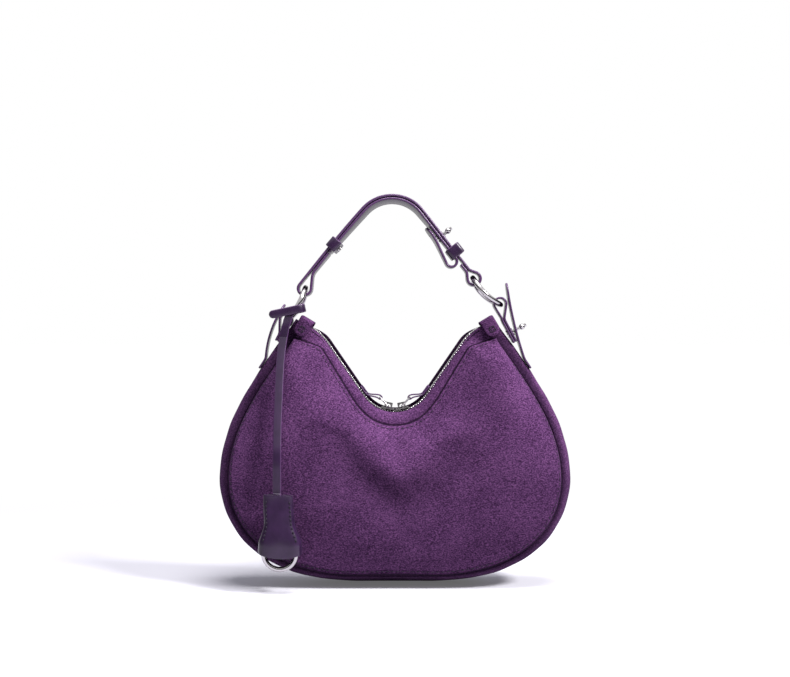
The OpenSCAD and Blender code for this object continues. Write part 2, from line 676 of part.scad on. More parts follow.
module side_stud_place() {
    axis = tab_layer(1, right_tab_eye, right_tab_lean, side_stud_leg, 0);
    p = axis[len(axis) - 1];
    translate([p[0], 0, p[1]]) rotate([0, 90 - right_tab_lean, 0]) children();
}
module left_ring_tab() {
    ring_tab(-1, left_tab_eye, left_tab_lean, 0.28 * tab_leg, false);
}
module right_ring_tab() {
    ring_tab(1, right_tab_eye, right_tab_lean, tab_leg, true);
}

// Side straps: sewn to the band at their foot, then standing free beside the ring
tail_share = 0.85;
tail_foot_l = 8;
module side_strap(side, l, lean, curl, hole) {
    n = across_at(band_line, band_run, tail_share);
    p = at(band_line, band_run, tail_share) + n * (tab_t / 2 + run_gap);
    up = atan2(n[0], -n[1]);
    color(smooth_leather) difference() {
        mirror([side > 0 ? 0 : 1, 0, 0])
            strap(trail(p, up, [[tail_foot_l, 0], [tail_foot_l / 2, 90 + lean - up],
                [l, -curl]]), tab_t, tab_w);
        if (hole) {
            side_stud_place() cylinder(h = 4 * tab_w, d = stud_ball_d + 2 * run_gap,
                center = true, $fn = fine);
        }
    }
}
module left_side_strap() {
    side_strap(-1, left_tail_l, left_tail_lean, -left_tail_curl, false);
}
module right_side_strap() {
    side_strap(1, right_tail_l, right_tail_lean, right_tail_curl, true);
}
module side_strap_stud() {
    side_stud_place() translate([0, 0, tab_lap / 2 + tab_t / 2 + seat_gap]) stud(tail_neck);
}
tail_neck = 0.4 * tab_w;
module side_stud_screw() {
    side_stud_place() translate([0, 0, -tab_lap / 2 - tab_t / 2 - seat_gap / 2])
        stud_screw(tab_lap + tab_t + seat_gap);
}

// Sliders: two plates bent to the zip's arc, a post between the rows, and a bail on top
slider_turn = slider_l / mouth_r * 180 / PI;
slider_gap_turn = 0.7;
slider_mid = slider_turn / 2 + slider_gap_turn;
post_t = 2 * row_gap - 2 * run_gap;
module arc_plate(lo, hi, from, to) {
    n = 6;
    polygon(concat([for (i = [0:n]) let (a = mix(from, to, i / n))
            (mouth_r - lo) * [sin(a), -cos(a)]],
        [for (i = [n:-1:0]) let (a = mix(from, to, i / n)) (mouth_r - hi) * [sin(a), -cos(a)]]));
}
module slider(side) {
    half = slider_turn / 2;
    foot = tape_top - tape_t - run_gap;
    color(silver) translate([0, 0, mouth_top]) rotate([0, -side * slider_mid, 0]) {
        deep(slider_w) arc_plate(plate_low, plate_low + slider_t, -half, half);
        deep(slider_w) arc_plate(foot - slider_t, foot, -half, half);
        deep(post_t) arc_plate(foot - slider_t / 2, plate_low + slider_t / 2, -half, -half / 3);
        translate([0, 0, -mouth_r + pivot_lift]) deep(pull_wire * 1.4) difference() {
            translate([-bail_r, -pull_wire]) square([2 * bail_r, pull_wire + bail_r]);
            translate([-bail_r + pull_wire, -2 * pull_wire])
                square([2 * (bail_r - pull_wire), 2 * pull_wire]);
            circle(r = bail_r - pull_wire, $fn = fine);
        }
    }
}
bail_r = 2.4 * pull_wire;
module left_slider() {
    slider(-1);
}
module right_slider() {
    slider(1);
}

// Pulls: a link, its sides a little thicker than its bars, and a leather tongue round the far bar.
// The pull lies back on the zip, so its slope follows from the two radii and its length.
pull_rise = acos((pow(mouth_r - pivot_lift, 2) + pull_l * pull_l
    - pow(mouth_r - tooth_top - pull_wire * 1.6, 2)) / (2 * (mouth_r - pivot_lift) * pull_l));
link_l = pull_l * 0.3;
link_w = slider_w - pull_wire;
module pull_place(side) {
    translate([0, 0, mouth_top]) rotate([0, -side * slider_mid, 0])
        translate([0, 0, -mouth_r + pivot_lift]) rotate([0, side * (pull_rise - 90), 0])
        mirror([side > 0 ? 0 : 1, 0, 0]) children();
}
module pull_link() {
    color(silver) {
        for (x = [0, link_l]) {
            translate([x, 0, 0]) rotate([90, 0, 0])
                cylinder(h = link_w, d = pull_wire, center = true, $fn = 24);
        }
        for (y = [-1, 1]) {
            translate([0, y * (link_w - pull_wire) / 2, 0]) rotate([0, 90, 0])
                cylinder(h = link_l, d = 1.1 * pull_wire, $fn = 24);
        }
    }
}
module pull_tongue() {
    r = pull_wire / 2 + run_gap / 2 + tongue_t / 2;
    w = min(pull_w, link_w - 2 * pull_wire - 2 * seat_gap);
    color(smooth_leather) {
        strap(trail([pull_l, r], 180, [[pull_l - link_l, 0], [r * PI, 180],
            [pull_l - link_l, 0]]), tongue_t, w);
    }
}
tongue_t = 1.3;
module left_pull_link() {
    pull_place(-1) pull_link();
}
module right_pull_link() {
    pull_place(1) pull_link();
}
module left_pull() {
    pull_place(-1) pull_tongue();
}
module right_pull() {
    pull_place(1) pull_tongue();
}

// The key bell hangs from the left ring: a loop, a strap that rests on the front panel,
// and a bell of two leaves round a polished ring. It leans a little in the bag's plane.
bell_top = [-horn[0] - bell_top_out, horn[1] - bell_top_drop];
bell_lean = 2;
bell_hang = 0.705 * body_h;
bell_start_d = 0.344 * band_w;
bell_out = 0.52 * band_w;
bell_slope_l = 0.7 * bell_hang;
bell_slope = asin(bell_out / bell_slope_l);
module hanging() {
    translate([bell_top[0], -bell_start_d, bell_top[1]]) rotate([0, bell_lean, 0])
        rotate([90, 0, 90]) children();
}
strap_bend = bell_hang / 8;
bell_line = trail([0, 0], 270 - bell_slope, [[bell_slope_l - strap_bend, 0],
    [strap_bend, bell_slope], [bell_hang - bell_slope_l, 0]]);
bell_foot = bell_line[len(bell_line) - 1];
key_eye = key_ring_wire / 2 + 2 * run_gap + bell_strap_t / 2;
module bell_strap() {
    color(smooth_leather) hanging() translate([0, 0, -bell_strap_w / 2])
        linear_extrude(bell_strap_w) polygon(strap_outline(concat(bell_line,
            rest(trail(bell_foot, 270, concat(key_loop, [[bell_hang / 5, 0]])))), bell_strap_t));
}
bell_lap = bell_strap_t + lap_gap;
key_loop = loop_moves(key_eye, bell_lap, key_eye, 1);
key_point = bell_foot + [-bell_lap / 2, -loop_reach(key_eye, bell_lap, key_eye)];
// The bell hangs from a strap end that is folded sideways round the ring's front, with a
// tongue that stands out to the left and a short upright down to where the bell's strap swings
wrap_eye = eye_r + bell_strap_t / 2;
wrap_z = bell_top[1] + bell_loop_h;
tongue_l = 0.6 * bell_w;
tongue_tilt = 12;
module bell_loop() {
    turn_x = ring_middle(left_eye, left_tab_eye)[0] + ring_bow;
    inner = wrap_eye - bell_strap_t / 2;
    color(smooth_leather) {
        translate([turn_x, -bell_start_d + wrap_eye, wrap_z]) rotate([0, -tongue_tilt, 0]) {
            translate([0, 0, -bell_strap_w / 2]) linear_extrude(bell_strap_w)
                polygon(strap_outline(trail([-tongue_l / 2, -wrap_eye], 0,
                    [[tongue_l / 2, 0], [wrap_eye * PI, 180], [eye_r, 0]]), bell_strap_t));
            translate([0, -inner, 0]) deep(bell_strap_t, 0) {
                translate([-tongue_l, -bell_strap_w / 2]) square([tongue_l, bell_strap_w]);
                translate([-tongue_l, 0]) circle(d = bell_strap_w, $fn = fine);
            }
        }
        hanging() translate([0, 0, -bell_strap_w / 2]) linear_extrude(bell_strap_w)
            translate([-bell_strap_t / 2, (bell_strap_t + seat_gap) / 2])
                square([bell_strap_t, wrap_z - bell_top[1]]);
    }
}
module key_ring() {
    wire = key_ring_wire / 2;
    r = key_ring_d / 2 - wire;
    drop = r - sqrt(r * r - bell_strap_w * bell_strap_w / 4);
    color(silver) hanging() translate([key_point[0], key_point[1] - r + drop / 2, 0])
        rotate([0, 90, 0]) rotate_extrude($fn = 96) translate([r, 0]) circle(r = wire, $fn = fine);
}
// A leaf of the bell: wide and deep at its mouth, narrow at its neck, curved from side to side
bell_low = key_point[1] - key_ring_d * 0.6;
function bell_half(v) = mix(bell_neck_w, bell_w, smooth(v * 1.15)) / 2;
function bell_depth(v) = mix((bell_lap + bell_strap_t) / 2 + 1.4 * run_gap + bell_t, bell_d / 2,
    smooth(v * 1.2));
function leaf_point(u, v) = let (
    x = u * bell_half(v),
    round_off = v * v * bell_w * 0.1 * u * u)
    [bell_foot[0] - bell_lap / 2 - seat_gap / 2
        - (bell_depth(v) - bell_t) * sqrt(1 - pow(u, 4)) - bell_t * sqrt(1 - 0.4 * u * u),
     bell_low + bell_h * (1 - v) + round_off, x];
function leaf_grid(hand) = [for (i = [0:10]) [for (j = [0:8]) let (
    p = leaf_point(2 * i / 10 - 1, j / 8),
    m = bell_foot[0] - bell_lap / 2)
    [hand > 0 ? p[0] : 2 * m - p[0], p[1], hand > 0 ? -p[2] : p[2]]]];
module bell_front() {
    color(smooth_leather) hanging() sewn_shell(leaf_grid(1), bell_t);
}
module bell_back() {
    color(smooth_leather) hanging() sewn_shell(leaf_grid(-1), bell_t);
}

front_panel();
back_panel();
side_band();
front_facing();
back_facing();
front_zip_tape();
back_zip_tape();
front_zip_teeth();
back_zip_teeth();
zip_end_stops();
left_end_tab();
right_end_tab();
lining();
slip_pocket();
base_board();
left_ring_tab();
right_ring_tab();
left_side_strap();
right_side_strap();
side_strap_stud();
side_stud_screw();
left_slider();
right_slider();
left_pull_link();
right_pull_link();
left_pull();
right_pull();
handle_outer_strap();
handle_inner_strap();
left_ring();
right_ring();
handle_stud();
handle_stud_screw();
left_keeper();
left_keeper_rivet();
right_keeper();
bell_loop();
bell_strap();
bell_front();
bell_back();
key_ring();
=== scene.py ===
# %% [markdown]
# # A half moon bag in suede, dressed for its photograph
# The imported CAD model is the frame: it says where every piece lies and how it moves.
# Blender adds what cloth and leather really look like: folds, rolled edges, stitches and nap.
# Everything below is worked out in millimetres in the frame's own axes and turned into
# metres only when a mesh is made, so that a value can be read off as on a paper pattern.

# %% Load the frame
import math

import bpy
import numpy as np
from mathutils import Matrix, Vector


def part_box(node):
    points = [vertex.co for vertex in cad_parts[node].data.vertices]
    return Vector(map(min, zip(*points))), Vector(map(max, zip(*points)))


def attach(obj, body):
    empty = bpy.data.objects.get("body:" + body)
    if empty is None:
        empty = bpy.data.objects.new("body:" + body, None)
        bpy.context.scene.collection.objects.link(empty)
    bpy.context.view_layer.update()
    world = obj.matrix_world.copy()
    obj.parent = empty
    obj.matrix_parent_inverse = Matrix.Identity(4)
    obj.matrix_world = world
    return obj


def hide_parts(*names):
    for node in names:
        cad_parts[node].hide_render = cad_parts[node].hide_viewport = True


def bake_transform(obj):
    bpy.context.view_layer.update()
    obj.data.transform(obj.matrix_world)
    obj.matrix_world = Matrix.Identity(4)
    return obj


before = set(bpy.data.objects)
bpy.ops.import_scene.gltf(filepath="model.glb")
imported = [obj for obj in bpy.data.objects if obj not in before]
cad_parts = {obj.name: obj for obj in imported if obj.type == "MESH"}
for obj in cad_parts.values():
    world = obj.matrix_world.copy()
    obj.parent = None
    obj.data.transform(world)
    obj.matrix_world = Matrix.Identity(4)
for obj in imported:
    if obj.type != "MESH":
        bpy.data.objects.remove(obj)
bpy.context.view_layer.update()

MM = 0.001

# %% [markdown]
# ## Camera first
# The photograph looks level at the bag from straight in front, at about the height of the
# horns, so the straps of the handle are seen from their thin side. A level camera keeps
# upright lines upright. Its focus in pixels over its distance gives the scale of the picture:
# 1450 pixels at 1.25 m make one pixel 0.86 mm.

# %% Camera
FOCUS_PX = 1450  # how far the lens is from the picture, in the picture's own pixels
PICTURE_W = 790  # the picture's width in pixels
EYE = (0.0, -1.25, 0.2112)  # in metres, as Blender takes it

camera = bpy.data.objects.new("camera", bpy.data.cameras.new("camera"))
bpy.context.scene.collection.objects.link(camera)
camera.location = EYE
camera.rotation_euler = (math.pi / 2, 0, 0)
camera.data.sensor_width = 36
camera.data.lens = camera.data.sensor_width * FOCUS_PX / PICTURE_W
camera.data.clip_start, camera.data.clip_end = 0.05, 60
bpy.context.scene.camera = camera
print("lens:", round(camera.data.lens, 1), "mm")

# %% [markdown]
# ## Tools for curves
# A pattern maker draws half of the bag and mirrors it. The half outline is a chain of smooth
# curves, and a point on it is named by its share of the way from the bottom middle to the tip.
# Working with shares lets one grid run along outlines of different length.

# %% Curves in the plane of the bag
HALF_W = 150.0
BODY_H = 228.0


def smooth(t):
    """A step from 0 to 1 that starts and ends level: three t squared less two t cubed."""
    c = np.clip(t, 0, 1)
    return c * c * (3 - 2 * c)


def mix(a, b, t):
    """a at t 0, b at t 1, and straight between them."""
    return a * (1 - t) + b * t


def scaled(shares):
    """Shares of the half width and the height, as points in millimetres."""
    return np.array(shares, float) * (HALF_W, BODY_H)


def bezier(shares, n):
    """n points of the cubic curve with these four control points."""
    t = np.linspace(0, 1, n)[:, None]
    p = scaled(shares)
    return (1 - t) ** 3 * p[0] + 3 * (1 - t) ** 2 * t * p[1] + 3 * (1 - t) * t * t * p[2] + t**3 * p[3]


def run_of(line):
    """The distance from the line's start to each of its points."""
    steps = np.linalg.norm(np.diff(line, axis=0), axis=1)
    return np.concatenate([[0.0], np.cumsum(steps)])


def along(line, share):
    """The points at these shares of the line's length."""
    run = run_of(line)
    l = np.clip(share, 0, 1) * run[-1]
    return np.stack([np.interp(l, run, line[:, k]) for k in range(line.shape[1])], -1)


def outward(line, share):
    """The unit vector to the right of the line's direction at these shares."""
    d = along(line, np.minimum(1, share + 0.01)) - along(line, np.maximum(0, share - 0.01))
    d /= np.linalg.norm(d, axis=-1, keepdims=True)
    return np.stack([d[..., 1], -d[..., 0]], -1)


def softened(line, reach):
    """The line with its corners rounded: each point becomes the mean of its neighbours."""
    n = int(run_of(line)[-1])
    even = along(line, np.linspace(0, 1, n + 1))
    k = int(reach)
    padded = np.concatenate([2 * even[0] - even[k:0:-1], even, 2 * even[-1] - even[-2 : -k - 2 : -1]])
    kernel = np.ones(2 * k + 1) / (2 * k + 1)
    return np.stack([np.convolve(padded[:, j], kernel, "valid") for j in range(2)], -1)


print("curve tools ready, smooth goes through", [float(smooth(t)) for t in (0.25, 0.5, 0.75)])

# %% Outline and mouth seam
WIDEST = (1, 0.408)  # where the outline is widest, in shares of the half width and the height
HORN_TIP, HORN_LEAD = (0.567, 1), (0.8, 0.789)  # its tip, and the point that the flank aims from

band_line = np.concatenate(
    [
        [[0, 0]],
        bezier([[0.2, 0], [0.66, 0], [1, 0.17], WIDEST], 60),
        bezier([WIDEST, [1, 0.614], HORN_LEAD, HORN_TIP], 60)[1:],
    ]
)
mouth_seam = softened(
    np.concatenate(
        [
            bezier([[0, 0.603], [0.147, 0.603], [0.21, 0.667], [0.287, 0.754]], 40),
            scaled([[0.42, 0.897], [0.577, 0.931]]),
        ]
    ),
    3,
)
mouth_seam[0, 0] = 0.0
print("outline:", round(run_of(band_line)[-1]), "mm, mouth seam:", round(run_of(mouth_seam)[-1]), "mm")

# %% [markdown]
# ## Tools for meshes
# Every new piece is a grid of points in millimetres, and one function makes it a mesh and says
# which body it rides on. `shell_piece` is for sewn sheets: it makes the outer face and leaves
# their thickness and soft rim to Solidify and Bevel.

# %% Meshes from grids
def new_piece(name, verts_mm, faces, body=None, slot=None, replaces=(), material=None):
    """A mesh object whose vertices are given in millimetres, with smooth faces."""
    mesh = bpy.data.meshes.new(name)
    mesh.from_pydata((np.asarray(verts_mm) * MM).tolist(), [], faces)
    mesh.polygons.foreach_set("use_smooth", [True] * len(mesh.polygons))
    mesh.update()
    piece = bpy.data.objects.new(name, mesh)
    bpy.context.scene.collection.objects.link(piece)
    if material:
        mesh.materials.append(material)
    if body:
        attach(piece, body)
    if replaces:
        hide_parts(*replaces)
    return piece


def mark(piece, name, values):
    """Stores one value for each vertex under a name, which a material reads as an attribute."""
    kept = piece.data.attributes.new(name, "FLOAT", "POINT")
    kept.data.foreach_set("value", np.ravel(values).astype(np.float32))


def grid_faces(rows, cols, close_cols=False):
    """Quads of a grid of rows times cols points, as index lists."""
    across = cols if close_cols else cols - 1
    i, j = np.meshgrid(np.arange(rows - 1) * cols, np.arange(across), indexing="ij")
    k = (j + 1) % cols
    return np.stack([i + j, i + k, i + cols + k, i + cols + j], -1).reshape(-1, 4)


def set_map(piece, u, v):
    """The piece's UV map from one u and one v per vertex, in metres."""
    mesh = piece.data
    index = np.empty(len(mesh.loops), int)
    mesh.loops.foreach_get("vertex_index", index)
    flat = np.stack([np.ravel(u)[index], np.ravel(v)[index]], -1) * MM
    mesh.uv_layers.new(name="UVMap").data.foreach_set("uv", flat.ravel())


def grid_normals(grid):
    """Unit normals of a grid: the cross product of its two directions."""
    n = np.cross(np.gradient(grid, axis=0), np.gradient(grid, axis=1))
    return n / np.maximum(np.linalg.norm(n, axis=-1, keepdims=True), 1e-9)


def grid_of(u, v):
    """Both parameters of a surface at every point of its grid, from the values of each."""
    return np.meshgrid(u, v, indexing="ij")


def dense_at_ends(n):
    """n values from -1 to 1, closer together at both ends, where a surface turns most."""
    return np.sin(np.linspace(-1, 1, n) * math.pi / 2)


def looking(grid, axis, sign):
    """The grid, with its rows turned round if its middle doesn't face along that axis (0 to 2
    for X to Z) with that sign."""
    rows, cols = grid.shape[:2]
    that_way = grid_normals(grid)[rows // 2, cols // 2, axis] * sign > 0
    return grid if that_way else grid[::-1]


def shell_piece(name, grid, thick, soft, **facts):
    """A sheet whose outer face is the grid, thick millimetres deep, with a rim rounded by soft."""
    rows, cols = grid.shape[:2]
    piece = new_piece(name, grid.reshape(-1, 3), grid_faces(rows, cols)[:, ::-1].tolist(), **facts)
    solid = piece.modifiers.new("thickness", "SOLIDIFY")
    solid.thickness, solid.offset = thick * MM, -1
    rim = piece.modifiers.new("soft_rim", "BEVEL")
    rim.width, rim.segments, rim.limit_method = soft * MM, 2, "ANGLE"
    rim.angle_limit = math.radians(50)
    return piece


print("tools for sheets ready, a grid of 3 by 3 points has", len(grid_faces(3, 3)), "faces")

# %% [markdown]
# ## Tools for straps
# `strap_piece` carries a closed cross-section along a path and caps the ends. The section's
# corners are round, because a cut edge is sanded, and at the ends it shrinks over a quarter
# circle, so that no end is a sharp step. The map from start to end lets a pattern follow it.

# %% Cross-section and ends of a strap
STRAP_STEP = 0.8  # millimetres from one cross-section to the next
STRAP_CORNER = 0.42  # radius of a strap's edges, as a share of its thickness
TIP_HALF = 0.6  # half the width at which a round tip ends


def section(width, thick, corner):
    """A rounded rectangle as a closed loop of 16 points: four arcs of a quarter circle."""
    a = np.radians(np.array([0, 30, 60, 90]))
    ring = np.concatenate([a + q * math.pi / 2 for q in range(4)])
    sx = np.repeat([1, -1, -1, 1], 4)
    sy = np.repeat([1, 1, -1, -1], 4)
    across = sx * (width / 2 - corner) + corner * np.cos(ring)
    return across, sy * (thick / 2 - corner) + corner * np.sin(ring)


def left_hand(line):
    """The unit vectors to the left of a plane line's direction."""
    t = np.gradient(line, axis=0)
    t /= np.linalg.norm(t, axis=1, keepdims=True)
    return np.stack([-t[:, 1], t[:, 0]], -1)


def placed(p, axes):
    """Points given by their lengths along three directions, as points of the bag. axes holds
    the origin and the three directions."""
    origin, e1, e2, e3 = [np.array(x, float) for x in axes]
    return origin + p[..., :1] * e1 + p[..., 1:2] * e2 + p[..., 2:] * e3


def strap_shares(length, r, corner, tips):
    """Where the cross-sections stand, as shares of the length: evenly, closer together round a
    tip of radius r, and three of them in the soft edge at each end."""
    share = np.linspace(0, 1, max(8, int(length / STRAP_STEP)))
    closer = (1 - np.cos(np.linspace(0, math.pi / 2, 9))) * r / length
    for tip, extra in zip(tips, (closer, 1 - closer)):
        if tip > 0:
            share = np.concatenate([share, extra])
    share = np.unique(np.round(share, 6))
    inset = np.array([0.0, 0.3, 1.0]) * corner / length
    inner = share[(share > inset[2]) & (share < 1 - inset[2])]
    return np.unique(np.concatenate([inner, inset, 1 - inset]))


def strap_ends(ends, width, corner):
    """The width at each cross-section and how much it shrinks at a soft edge, from its distance
    to both ends: a round tip is half a circle, a soft edge a quarter of one."""
    r = width / 2
    w = np.full(len(ends[0][0]), width)
    for d, tip in ends:
        if tip > 0:
            w = np.minimum(w, 2 * np.sqrt(np.maximum(r * r - np.maximum(r - d, 0) ** 2, TIP_HALF**2)))
    near = np.minimum(*[d + (corner if tip < 0 else 0) for d, tip in ends])
    return w, corner - np.sqrt(np.maximum(corner**2 - np.maximum(corner - near, 0) ** 2, 0))


print("cross-section of a strap:", len(section(10, 2, 0.5)[0]), "points")

# %% Straps along a path
def strap_piece(name, line, width, thick, axes, tips=(0, 0), twist=None, sway=None, **facts):
    """A strap: its middle line lies in the plane of the first two axes and its width runs
    along the third. tips says for both ends whether they are round (1), square with a soft
    edge (0), or cut clean because another piece goes on from there (-1). twist turns the
    strap about its middle line by an angle, and sway shifts it along its width; both are
    worked out from the plane points of the line."""
    length, corner = run_of(line)[-1], STRAP_CORNER * thick
    share = strap_shares(length, width / 2, corner, tips)
    p = along(line, share)
    side = left_hand(p)
    from_start, from_end = share * length, (1 - share) * length
    w, shrink = strap_ends(((from_start, tips[0]), (from_end, tips[1])), width, corner)
    a, b = section(width, thick, corner)
    k = (w[:, None] - 2 * shrink[:, None]) / width
    a = a[None, :] * k
    b = b[None, :] * (1 - 2 * shrink[:, None] / thick)
    turn = np.zeros(len(p)) if twist is None else np.radians(twist(p))
    turn *= np.sign(side[:, 1])
    c, d = np.cos(turn)[:, None], np.sin(turn)[:, None]
    plane = p[:, None, :] + (b * c - a * d)[..., None] * side[:, None, :]
    over = a * c + b * d + (0 if sway is None else sway(p)[:, None])
    verts = placed(np.concatenate([plane, over[..., None]], -1), axes)
    rows, cols = over.shape
    faces = grid_faces(rows, cols, True).tolist()
    faces += [list(range(cols))[::-1], list(range((rows - 1) * cols, rows * cols))]
    if np.linalg.det(np.array(axes[1:], float)) > 0:
        faces = [face[::-1] for face in faces]
    piece = new_piece(name, verts.reshape(-1, 3), faces, **facts)
    mark(piece, "edge", np.abs(a) > (width / 2 - 0.9 * corner) * np.minimum(k, 1))
    around = np.broadcast_to(np.linspace(0, 2 * (width + thick), cols), (rows, cols))
    set_map(piece, np.broadcast_to(from_start[:, None], (rows, cols)), around)
    return piece


def volume_of(piece):
    """The signed volume of a closed mesh in cubic centimetres: positive if faces look outwards."""
    mesh = piece.data
    mesh.calc_loop_triangles()
    co = np.array([v.co for v in mesh.vertices])
    tri = np.array([t.vertices for t in mesh.loop_triangles])
    a, b, c = co[tri[:, 0]], co[tri[:, 1]], co[tri[:, 2]]
    return float(np.einsum("ij,ij->i", a, np.cross(b, c)).sum() / 6 * 1e6)


print("tools for straps ready")

# %% [markdown]
# ## Finishes
# Colours are written as the screen shows them, in hex, and turned to linear light once.
# Patterns read the Object coordinates, in metres, so that their scale is a real length and they
# stay put when a piece moves. One small function adds any node: it puts values or links on the
# inputs and gives back the output that is wanted.

# %% Colour and node helpers
def hex_colour(code):
    """A colour as it is seen on a screen, turned to the linear values that light adds up in."""
    c = np.array([int(code[i : i + 2], 16) / 255 for i in (1, 3, 5)])
    linear = np.where(c <= 0.04045, c / 12.92, ((c + 0.055) / 1.055) ** 2.4)
    return (*linear.tolist(), 1.0)


def put(tree, node, values):
    """Puts each value, or the link that takes its place, on the node's input of that name."""
    for key, value in values.items():
        if isinstance(value, bpy.types.NodeSocket):
            tree.links.new(value, node.inputs[key])
        else:
            node.inputs[key].default_value = value


def add(tree, kind, out, values=None, stops=(), **settings):
    """Adds a node of that kind with its settings, its values or links and, for a colour ramp,
    its stops of a position and a colour: those at both ends first, then any between them.
    Gives its output called out."""
    made = tree.nodes.new(kind)
    for key, value in settings.items():
        setattr(made, key, value)
    put(tree, made, values or {})
    for k, (position, code) in enumerate(stops):
        stop = made.color_ramp.elements[k] if k < 2 else made.color_ramp.elements.new(position)
        stop.position, stop.color = position, hex_colour(code)
    return made.outputs[out]


def new_finish(name, values):
    """A material whose one shader has these values; gives the material, its tree, its shader."""
    material = bpy.data.materials.new(name)
    material.use_nodes = True
    tree = material.node_tree
    shader = tree.nodes["Principled BSDF"]
    put(tree, shader, values)
    return material, tree, shader


def repeats(size_mm):
    """A pattern's scale: how many of this size in millimetres go into a metre."""
    return 1 / (size_mm * MM)


print("nickel's colour in linear light:", [round(c, 3) for c in hex_colour("#b3afb2")[:3]])

# %% [markdown]
# ## Suede
# Suede is leather with its flesh side out, brushed: short fibres that catch light at a slant
# and look lighter or darker by the way they lie. A mottle of 1 mm, slanting streaks and soft
# patches of 30 mm draw that, and a bump of a third of a millimetre gives the pile its depth.
# Single fibres are finer than a pixel, so the mottle is as coarse as it needs to be to show.
# There is hardly any gloss, only a faint sheen where the surface turns away.

# %% Suede
def make_suede():
    """Purple suede: a fine mottle, slanting streaks of brushed nap and broad soft patches. Where the
    attribute "seam" is high the colour goes dark: partly the dark cut edges at the seams, partly
    painted shade in the band's trough beside its seams, low on the panels and under the V."""
    material, tree, shader = new_finish(
        "purple_napped_suede",
        {
            "Roughness": 0.95,
            "Specular IOR Level": 0.1,
            "Sheen Weight": 0.1,
            "Sheen Roughness": 0.4,
            "Sheen Tint": hex_colour("#c79fd6"),
        },
    )
    place = add(tree, "ShaderNodeTexCoord", "Object")
    way = {"Vector": place, "Rotation": (0, math.radians(40), 0), "Scale": (0.5, 1, 1)}
    slant = add(tree, "ShaderNodeMapping", "Vector", way)
    fine = {"Vector": place, "Scale": repeats(1.0), "Detail": 2.0, "Roughness": 0.7}
    mottle = add(tree, "ShaderNodeTexNoise", "Fac", fine)
    brushed_nap_and_painted_shade = {"Vector": slant, "Scale": repeats(0.8), "Detail": 1.0}
    streaks = add(tree, "ShaderNodeTexNoise", "Fac", brushed_nap_and_painted_shade)
    patches = add(tree, "ShaderNodeTexNoise", "Fac", {"Vector": place, "Scale": repeats(30)})
    both = add(tree, "ShaderNodeMath", "Value", {0: mottle, 1: streaks}, operation="ADD")
    grain = add(tree, "ShaderNodeMath", "Value", {0: both, 1: 0.5}, operation="MULTIPLY")
    even = add(tree, "ShaderNodeMath", "Value", {0: patches, 1: 0.5}, operation="SUBTRACT")
    soft = add(tree, "ShaderNodeMath", "Value", {0: even, 1: 0.14}, operation="MULTIPLY")
    shade = add(tree, "ShaderNodeMath", "Value", {0: grain, 1: soft}, operation="ADD")
    tones = [(0.38, "#361b3c"), (0.64, "#845489"), (0.5, "#5a3662")]
    nap = add(tree, "ShaderNodeValToRGB", "Color", {"Fac": shade}, tones)
    # Painted shade together with real dark edges: the attribute "seam" darkens the nap towards a near
    # black
    seam = add(tree, "ShaderNodeAttribute", "Fac", attribute_name="seam")
    edge_and_painted_shade = {"Factor": seam, "A": nap, "B": hex_colour("#1c0c22")}
    colour = add(tree, "ShaderNodeMix", "Result", edge_and_painted_shade, data_type="RGBA")
    pile = {"Height": grain, "Distance": 0.35 * MM, "Strength": 0.8}
    bump = add(tree, "ShaderNodeBump", "Normal", pile)
    put(tree, shader, {"Base Color": colour, "Normal": bump})
    return material


suede = make_suede()
SUEDE = {"slot": "suede", "material": suede}
print("finish:", suede.name)

# %% [markdown]
# ## Smooth leather
# The handle and the bell are grain leather, dyed and waxed to a satin: a thin clear coat over
# a duller base gives broad, soft highlights. Cut edges are painted a little lighter; the
# attribute "edge" says where they are.

# %% Smooth leather
def make_leather():
    """Smooth dark purple leather with a fine pebble, and edges painted a little lighter."""
    material, tree, shader = new_finish(
        "satin_purple_leather",
        {"Roughness": 0.36, "Specular IOR Level": 0.4, "Coat Weight": 0.2, "Coat Roughness": 0.16},
    )
    place = add(tree, "ShaderNodeTexCoord", "Object")
    clouds = add(tree, "ShaderNodeTexNoise", "Fac", {"Vector": place, "Scale": repeats(9)})
    tones = [(0.3, "#2b1736"), (0.7, "#371f43")]
    tone = add(tree, "ShaderNodeValToRGB", "Color", {"Fac": clouds}, tones)
    edge = add(tree, "ShaderNodeAttribute", "Fac", attribute_name="edge")
    painted = {"Factor": edge, "A": tone, "B": hex_colour("#5a3866")}
    colour = add(tree, "ShaderNodeMix", "Result", painted, data_type="RGBA")
    cells = {"Vector": place, "Scale": repeats(0.8)}
    pebble = add(tree, "ShaderNodeTexVoronoi", "Distance", cells, feature="SMOOTH_F1")
    fine = {"Height": pebble, "Distance": 0.06 * MM, "Strength": 0.5}
    bump = add(tree, "ShaderNodeBump", "Normal", fine)
    put(tree, shader, {"Base Color": colour, "Normal": bump})
    return material


leather = make_leather()
LEATHER = {"slot": "smooth_leather", "material": leather}
print("finish:", leather.name)

# %% [markdown]
# ## Cloth, nickel and thread
# Zip tapes and lining are plain woven cloth. Rings, studs and teeth are plated with nickel and
# polished, so they mirror the room. The thread is waxed: it is dark and shines a little.

